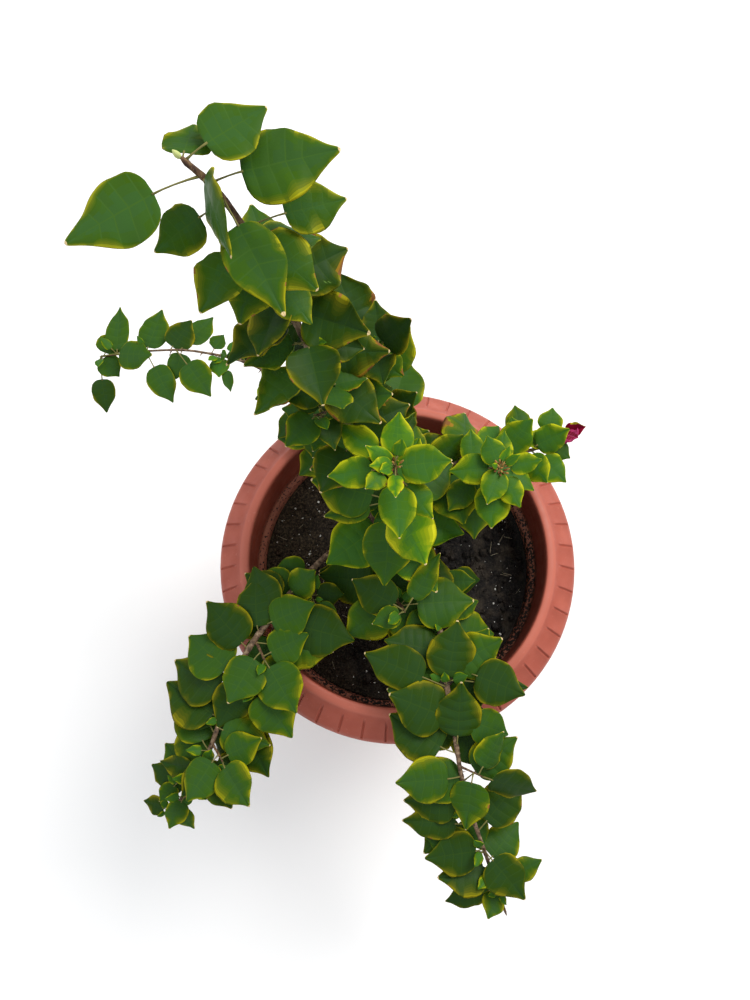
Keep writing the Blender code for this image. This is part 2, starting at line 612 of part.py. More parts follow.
def add_trunk(name, collection, spare=0.0):
    """A loft through lobed rings, from the root flare up to the domed fork."""
    foot = np.array(TRUNK_FOOT) - UP * spare
    top = np.array(TRUNK_TOP) + UP * spare
    verts = []
    faces = []
    for share, radius, lobe in trunk_rings(spare):
        centre = foot + (top - foot) * share
        for k in range(TRUNK_SIDES):
            a = 2 * math.pi * k / TRUNK_SIDES
            r = radius * (1 + lobe * math.cos(FLARE_LOBES * a + 0.6))
            verts.append((centre[0] + r * math.cos(a), centre[1] + r * math.sin(a), centre[2]))
    rings = len(trunk_rings(spare))
    for j in range(rings - 1):
        for k in range(TRUNK_SIDES):
            here = j * TRUNK_SIDES + k
            beside = j * TRUNK_SIDES + (k + 1) % TRUNK_SIDES
            faces.append((here, beside, beside + TRUNK_SIDES, here + TRUNK_SIDES))
    faces.append(tuple(reversed(range(TRUNK_SIDES))))
    faces.append(tuple(range((rings - 1) * TRUNK_SIDES, rings * TRUNK_SIDES)))
    trunk = add_mesh(name, verts, faces, collection)
    shade_round(trunk)
    return trunk


def stretch(route, start, end, radii, spacing):
    """Points along a route between two distances, and the tapering radius at each.

    A point close to either end squares that end's face to the route, so that the next
    piece along it starts face to face.
    """
    count = max(2, round((end - start) / spacing) + 1)
    near = END_RUN / (end - start)
    shares = sorted([near, 1 - near] + [k / (count - 1) for k in range(count)])
    points = [route.at(start + (end - start) * t) for t in shares]
    return points, [blend(radii, t) for t in shares]


def add_bough(name, collection, cutters):
    """A limb's bare part, hollowed at its foot to sit round the trunk."""
    root_radius, tip_radius, share = BOUGHS[name]
    route = Route(ROUTES[name])
    points, radii = stretch(route, 0.0, route.length * share - GAP, (root_radius, tip_radius),
                            BOUGH_SPACING)
    bough = as_mesh(add_tube(name + "_bough", points, radii, collection), collection)
    shade_round(bough)
    trunk_room = add_trunk("trunk_room_" + name, cutters, GAP)
    trunk_room.hide_render = True
    trunk_room.display_type = "WIRE"
    cut = bough.modifiers.new("trunk room", "BOOLEAN")
    cut.operation = "DIFFERENCE"
    cut.object = trunk_room
    return bough


# ---- leaf and mass solids ----------------------------------------------------------
def wedge(centre, across, face, half_width, thickness):
    """A three-cornered section: two corners on top and a keel under the midrib."""
    return [centre + across * half_width, centre - face * thickness, centre - across * half_width]


def loft_faces(sections, pointed):
    faces = [(0, 1, 2)]
    for j in range(sections - 1):
        for k in range(3):
            here = 3 * j + k
            beside = 3 * j + (k + 1) % 3
            faces.append((here, here + 3, beside + 3, beside))
    last = 3 * (sections - 1)
    if pointed:
        faces += [(last + k, last + 3, last + (k + 1) % 3) for k in range(3)]
    else:
        faces.append((last + 2, last + 1, last))
    return faces


def leaf_half_width(u):
    """Half a leaf's width at a share of its length, over its full width."""
    return 0.5 * math.sqrt(math.sin(math.pi * u ** 0.62))


def blade_solid(leaf):
    """A leaf's stalk and blade: the stalk's end lies on its stem's axis."""
    across = unit(np.cross(leaf.aim, leaf.face))
    stalk = unit(leaf.base - leaf.foot)
    stalk_across = unit(np.cross(stalk, leaf.face))
    stalk_face = np.cross(stalk_across, stalk)
    half = PETIOLE_WIDTH / 2
    verts = wedge(leaf.foot, stalk_across, stalk_face, half, PETIOLE_WIDTH * 0.8)
    verts += wedge(leaf.base, across, leaf.face, half, LEAF_THICKNESS)
    for u in STATIONS:
        verts += wedge(leaf.base + leaf.aim * leaf.length * u, across, leaf.face,
                       leaf.width * leaf_half_width(u), LEAF_THICKNESS)
    verts.append(leaf.base + leaf.aim * leaf.length)
    return verts, loft_faces(2 + len(STATIONS), pointed=True)


def twig_solid(foot, tip, radius):
    """A three-sided twig that narrows to its tip."""
    aim = unit(tip - foot)
    side, over = stem_frame(aim)
    verts = wedge(foot, side, over, radius, radius * 1.5)
    verts += wedge(tip, side, over, radius * 0.6, radius * 0.9)
    return verts, loft_faces(2, pointed=False)


def tree_of(solids):
    """A search tree over the triangles of some (verts, faces) solids."""
    verts = []
    faces = []
    for solid_verts, solid_faces in solids:
        base = len(verts)
        verts += [Vector(v) for v in solid_verts]
        faces += [tuple(base + k for k in face) for face in solid_faces]
    return BVHTree.FromPolygons(verts, faces)


def mesh_solid(obj):
    return [v.co.copy() for v in obj.data.vertices], [tuple(p.vertices) for p in obj.data.polygons]


def grown(solid, clearance):
    """A blade solid swollen about its middle line, to keep a clearance round it."""
    verts, faces = solid
    swollen = []
    for j in range(0, len(verts) - 1, 3):
        middle = (verts[j] + verts[j + 1] + verts[j + 2]) / 3
        for v in verts[j:j + 3]:
            swollen.append(v + unit(v - middle) * clearance)
    swollen.append(verts[-1] + unit(verts[-1] - verts[-2]) * clearance)
    return swollen, faces


# Small turns (rise, bearing) that a leaf may make to find room, in degrees.
NUDGES = ((0, 0), (10, 0), (-10, 0), (0, 14), (0, -14), (18, 8), (-18, -8), (24, -16), (8, 26),
          (-26, 14), (10, -30), (32, 0))


def nudged(leaf, rise, bearing):
    level = np.cross(leaf.aim, UP)
    if np.linalg.norm(level) < 0.05:
        level = np.array((1.0, 0.0, 0.0))
    level = unit(level)
    aim = turned(turned(leaf.aim, level, rise), UP, bearing)
    face = turned(turned(leaf.face, level, rise), UP, bearing)
    stalk = turned(turned(leaf.base - leaf.foot, level, rise), UP, bearing)
    return leaf._replace(base=leaf.foot + stalk, aim=aim, face=face)


def clears_pot(leaf):
    """Whether a leaf stays above the soil inside the pot and above the rim over it."""
    for share in (0.0, 0.35, 0.7, 1.0):
        p = leaf.base + leaf.aim * leaf.length * share
        r = math.hypot(p[0], p[1])
        ground = SOIL_TOP if r < BODY_TOP_RADIUS else RIM_TOP
        if r < LIP_RADIUS + POT_ROOM and p[2] < ground + POT_ROOM:
            return False
    return True


def fitted(leaf, others, own, blades):
    """The leaf, turned a little if need be to touch nothing, or None where it has no room."""
    for rise, bearing in NUDGES:
        trial = nudged(leaf, rise, bearing)
        if not clears_pot(trial):
            continue
        whole = tree_of([grown(blade_solid(trial), LEAF_ROOM)])
        if any(whole.overlap(tree) for tree in others):
            continue
        free = trial._replace(foot=trial.base - unit(trial.base - trial.foot) * END_RUN)
        blade = tree_of([grown(blade_solid(free), BLADE_ROOM)])
        if blade.overlap(own) or any(blade.overlap(tree) for tree in blades):
            continue
        return trial
    return None


def bract_leaves(route, end, count):
    """Papery bracts round the tip of a flowering twig."""
    tip = route.at(end - 0.0015)
    return [leaf_by_compass(tip, 8 - BRACT_FAN * k, 24 + 12 * k, 0, BRACT_SIZE, 0.80, 0.003)
            for k in range(count)]


def union_of(obj, pieces):
    """Join a collection's objects to obj, and keep only the one body that they make."""
    join = obj.modifiers.new("join", "BOOLEAN")
    join.operation = "UNION"
    join.operand_type = "COLLECTION"
    join.collection = pieces
    depsgraph = bpy.context.evaluated_depsgraph_get()
    mesh = bpy.data.meshes.new_from_object(obj.evaluated_get(depsgraph))
    obj.modifiers.clear()
    for piece in list(pieces.objects):
        bpy.data.objects.remove(piece, do_unlink=True)
    bpy.data.collections.remove(pieces)
    obj.data = mesh
    keep_largest_body(mesh)


def keep_largest_body(mesh):
    """Drop loose scraps, and the walls of any hollow that the union sealed."""
    bm = bmesh.new()
    bm.from_mesh(mesh)
    bm.faces.ensure_lookup_table()
    unseen = set(bm.faces)
    bodies = []
    while unseen:
        body = [unseen.pop()]
        for face in body:
            for edge in face.edges:
                for neighbour in edge.link_faces:
                    if neighbour in unseen:
                        unseen.remove(neighbour)
                        body.append(neighbour)
        bodies.append(body)
    largest = max(bodies, key=lambda body: sum(face.calc_area() for face in body))
    scraps = [face for body in bodies if body is not largest for face in body]
    bmesh.ops.delete(bm, geom=scraps, context="FACES")
    bmesh.ops.triangulate(bm, faces=bm.faces)
    bm.to_mesh(mesh)
    bm.free()


def mass_wood(name, mass, collection):
    """A mass's stem, its side shoot if it has one, their route ends and their search tree."""
    route = Route(ROUTES[mass["route"]])
    start, end = (route.length * share for share in mass["span"])
    points, radii = stretch(route, start, end - GAP, mass["radius"], STEM_SPACING)
    wood = [as_mesh(add_tube(name, points, radii, collection, 0), collection)]
    if "shoot" in mass:
        shoot = Route(ROUTES[mass["shoot"]])
        points, radii = stretch(shoot, 0.0, shoot.length, SHOOT_RADII, BOUGH_SPACING)
        wood.append(as_mesh(add_tube(name + "_shoot", points, radii, collection, 0), collection))
    return route, start, end, wood


def set_leaves(key, route, start, end):
    """The leaves set one by one on a stretch of a route."""
    return [leaf_by_compass(route.at(start + share * (end - start)), *rest)
            for share, *rest in SET_LEAVES.get(key, ())]


def mass_leaves(name, mass, route, start, end):
    """A mass's twigs and leaves, those set one by one first."""
    twigs, leaves = grow(route, start, end, mass)
    leaves = set_leaves(name, route, start, end) + leaves
    if "shoot" in mass:
        shoot = Route(ROUTES[mass["shoot"]])
        leaves = set_leaves(mass["shoot"], shoot, 0.0, shoot.length) + leaves
    if "bracts" in mass:
        leaves = bract_leaves(route, end, mass["bracts"]) + leaves
    return twigs, leaves


def build_masses(collection, fixed):
    """Grow every mass in turn, each clear of all that stands before it and of every stem."""
    woods = {name: mass_wood(name, mass, collection) for name, mass in MASSES.items()}
    stem_trees = {name: tree_of([mesh_solid(obj) for obj in wood[3]])
                  for name, wood in woods.items()}
    leaf_trees = []
    for name, mass in MASSES.items():
        route, start, end, wood = woods[name]
        others = [fixed] + [tree for key, tree in stem_trees.items() if key != name] + leaf_trees
        twigs, leaves = mass_leaves(name, mass, route, start, end)
        solids = []
        for foot, tip in twigs:
            twig = twig_solid(foot, tip, mass["radius"][1] * 0.6)
            tree = tree_of([twig])
            if any(tree.overlap(other) for other in others):
                leaves = [leaf for leaf in leaves if not on_twig(leaf, foot, tip)]
            else:
                solids.append(twig)
        own = tree_of([mesh_solid(obj) for obj in wood] + solids)
        blades = []
        for leaf in leaves:
            good = fitted(leaf, others, own, blades)
            if good:
                solid = blade_solid(good)
                solids.append(solid)
                blades.append(tree_of([solid]))
        leaf_trees.append(tree_of(solids))
        pieces = bpy.data.collections.new(name + "_pieces")
        bpy.context.scene.collection.children.link(pieces)
        for k, (verts, faces) in enumerate(solids):
            add_mesh(f"{name}_piece_{k}", verts, faces, pieces)
        for extra in wood[1:]:
            collection.objects.unlink(extra)
            pieces.objects.link(extra)
        union_of(wood[0], pieces)
        finish(wood[0], LEAF_GREEN, 0.5)


def on_twig(leaf, foot, tip):
    """Whether a leaf grows from the twig between two points."""
    reach = tip - foot
    share = float(np.dot(leaf.foot - foot, reach) / np.dot(reach, reach))
    off = np.linalg.norm(leaf.foot - foot - reach * share)
    return off < 1e-6 and 0.3 < share < 1.01


def build():
    clear_scene()
    parts = new_collection("bougainvillea_bush")
    cutters = new_collection("cutters")
    pot = add_turned("pot", pot_profile(), parts)
    finish(pot, POT_TERRACOTTA, 0.42)
    soil = add_turned("soil", soil_profile(), parts)
    finish(soil, SOIL_BROWN, 0.95)
    trunk = add_trunk("trunk", parts)
    finish(trunk, BARK_BROWN, 0.8)
    boughs = [add_bough(name, parts, cutters) for name in BOUGHS]
    for bough in boughs:
        finish(bough, BARK_BROWN, 0.75)
    fixed = tree_of([mesh_solid(obj) for obj in [trunk] + boughs])
    build_masses(parts, fixed)


build()
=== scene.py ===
"""A bougainvillea bush in a round plastic pot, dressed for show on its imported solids.

Metres, +Z up, with the origin in the middle of the pot's underside. The two branches that
weep over the rim reach towards -Y. The limbs' routes and the rule that places leaves and
twigs are the solids' own, and a leaf is dressed wherever its solid stands in the frame.
On top come what the solids leave out: the leaves' curl, veins, yellow margins and dry
tips, axil leaves, buds, thorns, bark, the rim's grooves, and the crumbs of the soil.
"""
import math
import random
from collections import namedtuple

import bmesh
import bpy
import numpy as np
from mathutils import Matrix, Vector, noise
from mathutils.bvhtree import BVHTree
from mathutils.kdtree import KDTree


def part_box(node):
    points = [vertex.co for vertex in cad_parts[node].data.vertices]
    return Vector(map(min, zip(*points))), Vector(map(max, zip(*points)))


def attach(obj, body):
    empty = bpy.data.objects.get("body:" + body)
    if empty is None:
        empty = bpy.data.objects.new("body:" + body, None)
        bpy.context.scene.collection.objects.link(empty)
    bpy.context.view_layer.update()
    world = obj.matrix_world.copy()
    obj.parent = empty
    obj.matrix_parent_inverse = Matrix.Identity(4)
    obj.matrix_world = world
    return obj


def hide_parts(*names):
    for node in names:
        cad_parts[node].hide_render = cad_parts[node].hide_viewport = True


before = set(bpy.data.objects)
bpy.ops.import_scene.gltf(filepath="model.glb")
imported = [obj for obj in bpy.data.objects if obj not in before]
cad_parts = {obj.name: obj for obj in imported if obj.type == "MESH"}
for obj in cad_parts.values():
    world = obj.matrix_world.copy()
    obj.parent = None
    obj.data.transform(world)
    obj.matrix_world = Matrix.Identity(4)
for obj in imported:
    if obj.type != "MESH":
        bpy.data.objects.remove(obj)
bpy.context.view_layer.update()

# ---- sizes read from the frame -----------------------------------------------------
POT_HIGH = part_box("pot")[1]
LIP_RADIUS = POT_HIGH.x
RIM_TOP = POT_HIGH.z
SOIL_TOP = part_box("soil")[1].z

# ---- the pot -----------------------------------------------------------------------
LIP_TOP = 0.309             # height of the rim's outer lip
LIP_SKIRT = 0.010           # how far the lip turns down
WALL = 0.004
MOUTH_RADIUS = 0.1624       # inside of the collar
COLLAR_FOOT = 0.274         # where the collar steps in to the tapering body
BODY_TOP = COLLAR_FOOT - 0.008      # height of the body's top, under the step
BODY_TOP_RADIUS = 0.1565    # inside of the body there
BASE_RADIUS = 0.1165        # inside of the body at its floor
FLOOR = 0.006
WALL_TAPER = (BODY_TOP_RADIUS - BASE_RADIUS) / (BODY_TOP - FLOOR)
GAP = 0.0003
GROOVES = 48                # short grooves round the sloping rim
GROOVE_TURN = 1.2           # degrees from +X to the first of them
GROOVE_FROM = 0.1778        # radius where a groove starts
GROOVE_TO = 0.1980          # radius where it runs out, by the lip
GROOVE_MIDDLE = 0.1870      # radius where its width is taken
GROOVE_HALF_WIDTH = 0.0013
GROOVE_DEPTH = 0.0022
GROOVE_RIDGE = 0.0005       # height of the ridge along each of its sides
# Where corners stand across a groove, in half widths from its middle.
GROOVE_STEPS = (-1.9, -1.35, -1.0, -0.55, 0.55, 1.0, 1.35, 1.9)
ROLL_EDGE = 0.1740          # radius where the rolled inner edge meets the sloping rim
SLOPE_START = 0.1755        # radius from which the rim falls evenly to its lip

# ---- the trunk ---------------------------------------------------------------------
TRUNK_FOOT = (-0.0130, 0.0120, SOIL_TOP + GAP)
TRUNK_TOP = (-0.0115, 0.0180, 0.3120)
TRUNK_RADIUS = 0.0088
FLARE_RADIUS = 0.0165
FLARE_LOBES = 5
# Height share, radius and lobe depth of each ring, from the root flare to the fork.
TRUNK_RINGS = (
    (0.00, FLARE_RADIUS, 0.20),
    (0.06, FLARE_RADIUS * 0.86, 0.17),
    (0.16, FLARE_RADIUS * 0.70, 0.11),
    (0.34, TRUNK_RADIUS * 1.08, 0.05),
    (0.62, TRUNK_RADIUS, 0.02),
    (0.86, TRUNK_RADIUS * 0.97, 0.00),
    (0.95, TRUNK_RADIUS * 0.82, 0.00),
    (1.00, TRUNK_RADIUS * 0.45, 0.00),
)

# ---- leaves ------------------------------------------------------------------------
GOLDEN = 137.5              # degrees from one leaf to the next round an upright stem
LIGHT = (0.0, -0.12, 1.0)   # the leaves turn their faces this way
YOUNG_SHARE = 0.64          # past this share of a rosette its leaves are young and small
BRACT_SIZE = 0.021
BRACT_FAN = 58              # degrees from one bract to the next
TWIG_FORK = 62              # degrees between a twig and its stem
# A twig's leaves: share of its length, clock angle, sweep, and size beside a stem's leaf.
TWIG_LEAVES = ((0.58, 80, 70, 0.80), (0.78, -85, 75, 0.70), (0.95, 0, 15, 0.85))

Leaf = namedtuple("Leaf", "foot base aim face length width")

# ---- the limbs' routes, from inside the trunk's fork to their tips ------------------
ROUTES = {
    "tall": ((-0.012, 0.018, 0.287), (-0.0215, 0.0315, 0.318), (-0.026, 0.050, 0.370),
             (-0.041, 0.088, 0.465), (-0.068, 0.129, 0.555), (-0.094, 0.160, 0.650),
             (-0.115, 0.175, 0.712), (-0.136, 0.185, 0.740)),
    "middle": ((-0.011, 0.018, 0.282), (-0.0073, 0.0337, 0.306), (-0.006, 0.054, 0.360),
               (-0.006, 0.102, 0.420), (-0.016, 0.136, 0.470), (-0.026, 0.164, 0.515)),
    "left": ((-0.0125, 0.017, 0.280), (-0.0279, 0.0242, 0.292), (-0.054, 0.098, 0.335),
             (-0.090, 0.157, 0.358), (-0.142, 0.209, 0.370), (-0.212, 0.234, 0.370),
             (-0.271, 0.242, 0.362), (-0.335, 0.246, 0.345)),
    "centre": ((-0.0115, 0.0175, 0.300), (-0.0105, 0.0185, 0.340), (-0.006, 0.028, 0.440),
               (-0.003, 0.042, 0.525)),
    "right": ((-0.0115, 0.017, 0.284), (0.0034, 0.024, 0.298), (0.018, 0.046, 0.350),
              (0.040, 0.067, 0.405), (0.068, 0.077, 0.415), (0.105, 0.080, 0.420),
              (0.150, 0.090, 0.410), (0.180, 0.109, 0.397)),
    "rosette": ((0.068, 0.077, 0.415), (0.082, 0.062, 0.440), (0.096, 0.050, 0.475)),
    "front_left": ((-0.0125, 0.0155, 0.282), (-0.0279, 0.0099, 0.290), (-0.056, 0.016, 0.318),
                   (-0.085, -0.007, 0.342), (-0.130, -0.061, 0.362), (-0.167, -0.113, 0.362),
                   (-0.196, -0.181, 0.340), (-0.221, -0.228, 0.312), (-0.259, -0.260, 0.280)),
    "front_right": ((-0.0115, 0.015, 0.282), (0.0035, 0.0095, 0.292), (0.038, -0.009, 0.335),
                    (0.040, -0.055, 0.358), (0.039, -0.107, 0.372), (0.045, -0.175, 0.372),
                    (0.054, -0.243, 0.355), (0.076, -0.315, 0.320), (0.095, -0.373, 0.285)),
    "front": ((-0.0115, 0.016, 0.288), (-0.0101, -0.0002, 0.305), (-0.008, -0.042, 0.350),
              (0.003, -0.070, 0.390)),
}

# Each bough: its radius at the fork and at its tip, and the share of its route that is bare.
BOUGHS = {
    "tall": (0.0042, 0.0038, 0.34),
    "middle": (0.0028, 0.0025, 0.38),
    "left": (0.0020, 0.0018, 0.26),
    "centre": (0.0030, 0.0027, 0.34),
    "right": (0.0028, 0.0025, 0.42),
    "front_left": (0.0036, 0.0033, 0.26),
    "front_right": (0.0030, 0.0028, 0.20),
    "front": (0.0026, 0.0023, 0.36),
}

# Each mass of leaves takes a span of its limb's route, between two shares of its length.
# radius: the stem's at both ends. size: leaf length. sweep: degrees from the way the stem
# grows to the way a leaf points. step: from one node to the next. Pairs run from the
# mass's first node to its last. flatten: how far leaves lie down, from 0 to 1.
MASSES = {
    "tall_low": dict(route="tall", span=(0.34, 0.54), radius=(0.0038, 0.0034), pattern="spiral",
                     turn=40, seed=42, petiole=0.25, size=(0.052, 0.038), sweep=(105, 85),
                     step=(0.0087, 0.0101), flatten=0.7, twig_every=3, twig=0.03),
    "tall_middle": dict(route="tall", span=(0.54, 0.76), radius=(0.0034, 0.0031),
                        pattern="spiral", turn=10, seed=43, petiole=0.2, size=(0.055, 0.051),
                        sweep=(85, 100), step=(0.0085, 0.011), flatten=0.7, twig_every=4,
                        twig=0.03),
    "tall_top": dict(route="tall", span=(0.76, 1.0), radius=(0.0031, 0.0021), pattern="spiral",
                     turn=0, seed=45, size=(0.044, 0.044), sweep=(100, 95),
                     step=(0.0145, 0.0135), flatten=0.8, rise=(-12, -8), until=0.45),
    "middle_low": dict(route="middle", span=(0.38, 0.68), radius=(0.0025, 0.0022),
                       pattern="spiral", turn=60, seed=47, petiole=0.36, size=(0.062, 0.062),
                       sweep=(170, 65), step=(0.0099, 0.0114), flatten=0.5, twig_every=4,
                       twig=0.03),
    "middle_top": dict(route="middle", span=(0.68, 1.0), radius=(0.0022, 0.0017),
                       pattern="spiral", turn=60, seed=31, petiole=0.26, size=(0.042, 0.062),
                       sweep=(65, 25), step=(0.0148, 0.011), flatten=0.5, twig_every=4,
                       twig=0.025, crown=(5, 0.044, 20)),
    "left_low": dict(route="left", span=(0.26, 0.46), radius=(0.0018, 0.0017), pattern="spiral",
                     turn=0, seed=45, petiole=0.27, size=(0.04, 0.04), sweep=(85, 90),
                     step=(0.0095, 0.0117), flatten=0.7),
    "left_middle": dict(route="left", span=(0.46, 0.7), radius=(0.0017, 0.0014),
                        pattern="alternate", seed=37, petiole=0.14, size=(0.034, 0.036),
                        sweep=(75, 70), step=(0.013, 0.013), flatten=0.85, until=0.2),
    "left_tip": dict(route="left", span=(0.7, 1.0), radius=(0.0014, 0.001), seed=89, until=0.0),
    "centre_low": dict(route="centre", span=(0.34, 0.68), radius=(0.0027, 0.0024),
                       pattern="spiral", turn=20, seed=15, petiole=0.32, size=(0.058, 0.057),
                       sweep=(100, 80), step=(0.0109, 0.0096), flatten=0.3),
    "centre_rosette": dict(route="centre", span=(0.68, 1.0), radius=(0.0024, 0.0018),
                           pattern="spiral", turn=20, seed=34, petiole=0.22,
                           size=(0.055, 0.049), sweep=(90, 85), step=(0.0121, 0.014),
                           flatten=0.3, until=0.3),
    "right_rosette": dict(route="right", span=(0.42, 0.62), radius=(0.0025, 0.0022),
                          pattern="alternate", seed=32, petiole=0.36, size=(0.056, 0.056),
                          sweep=(45, 95), step=(0.0098, 0.0085), flatten=0.85, twig_every=3,
                          twig=0.028, shoot="rosette"),
    "right_tip": dict(route="right", span=(0.62, 1.0), radius=(0.0022, 0.0012),
                      pattern="alternate", seed=40, petiole=0.21, size=(0.044, 0.029),
                      sweep=(55, 65), step=(0.0091, 0.0085), flatten=0.8, until=0.6, bracts=2),
    "front_left_top": dict(route="front_left", span=(0.26, 0.5), radius=(0.0033, 0.0029),
                           pattern="alternate", seed=61, petiole=0.18, size=(0.036, 0.062),
                           sweep=(40, 160), step=(0.0122, 0.0085), flatten=0.88, twig_every=4,
                           twig=0.03),
    "front_left_middle": dict(route="front_left", span=(0.5, 0.76), radius=(0.0029, 0.0023),
                              pattern="alternate", seed=29, petiole=0.16, size=(0.059, 0.06),
                              sweep=(110, 125), step=(0.0145, 0.0086), flatten=0.88,
                              twig_every=4, twig=0.03),
    "front_left_tip": dict(route="front_left", span=(0.76, 1.0), radius=(0.0023, 0.0014),
                           pattern="alternate", seed=82, petiole=0.21, size=(0.05, 0.024),
                           sweep=(145, 50), step=(0.0085, 0.012), flatten=0.85, twig_every=5,
                           twig=0.02),
    "front_right_top": dict(route="front_right", span=(0.2, 0.38), radius=(0.0028, 0.0026),
                            pattern="alternate", seed=47, petiole=0.31, size=(0.04, 0.052),
                            sweep=(130, 90), step=(0.013, 0.0095), flatten=0.88, until=0.8),
    "front_right_middle": dict(route="front_right", span=(0.38, 0.59), radius=(0.0026, 0.0023),
                               pattern="alternate", seed=49, petiole=0.14, size=(0.056, 0.056),
                               sweep=(110, 145), step=(0.01, 0.011), flatten=0.88, until=0.75,
                               twig_every=4, twig=0.03),
    "front_right_low": dict(route="front_right", span=(0.59, 0.81), radius=(0.0023, 0.0019),
                            pattern="alternate", seed=53, petiole=0.25, size=(0.056, 0.056),
                            sweep=(120, 100), step=(0.012, 0.011), flatten=0.88, until=0.7,
                            twig_every=4, twig=0.03),
    "front_right_tip": dict(route="front_right", span=(0.81, 1.0), radius=(0.0019, 0.0013),
                            pattern="alternate", seed=81, petiole=0.16, size=(0.05, 0.042),
                            sweep=(105, 130), step=(0.0132, 0.016), flatten=0.88, until=0.4),
    "front_leaves": dict(route="front", span=(0.36, 1.0), radius=(0.0023, 0.0015),
                         pattern="spiral", turn=0, seed=42, petiole=0.27, size=(0.061, 0.054),
                         sweep=(100, 75), step=(0.0088, 0.0114), flatten=0.5),
}

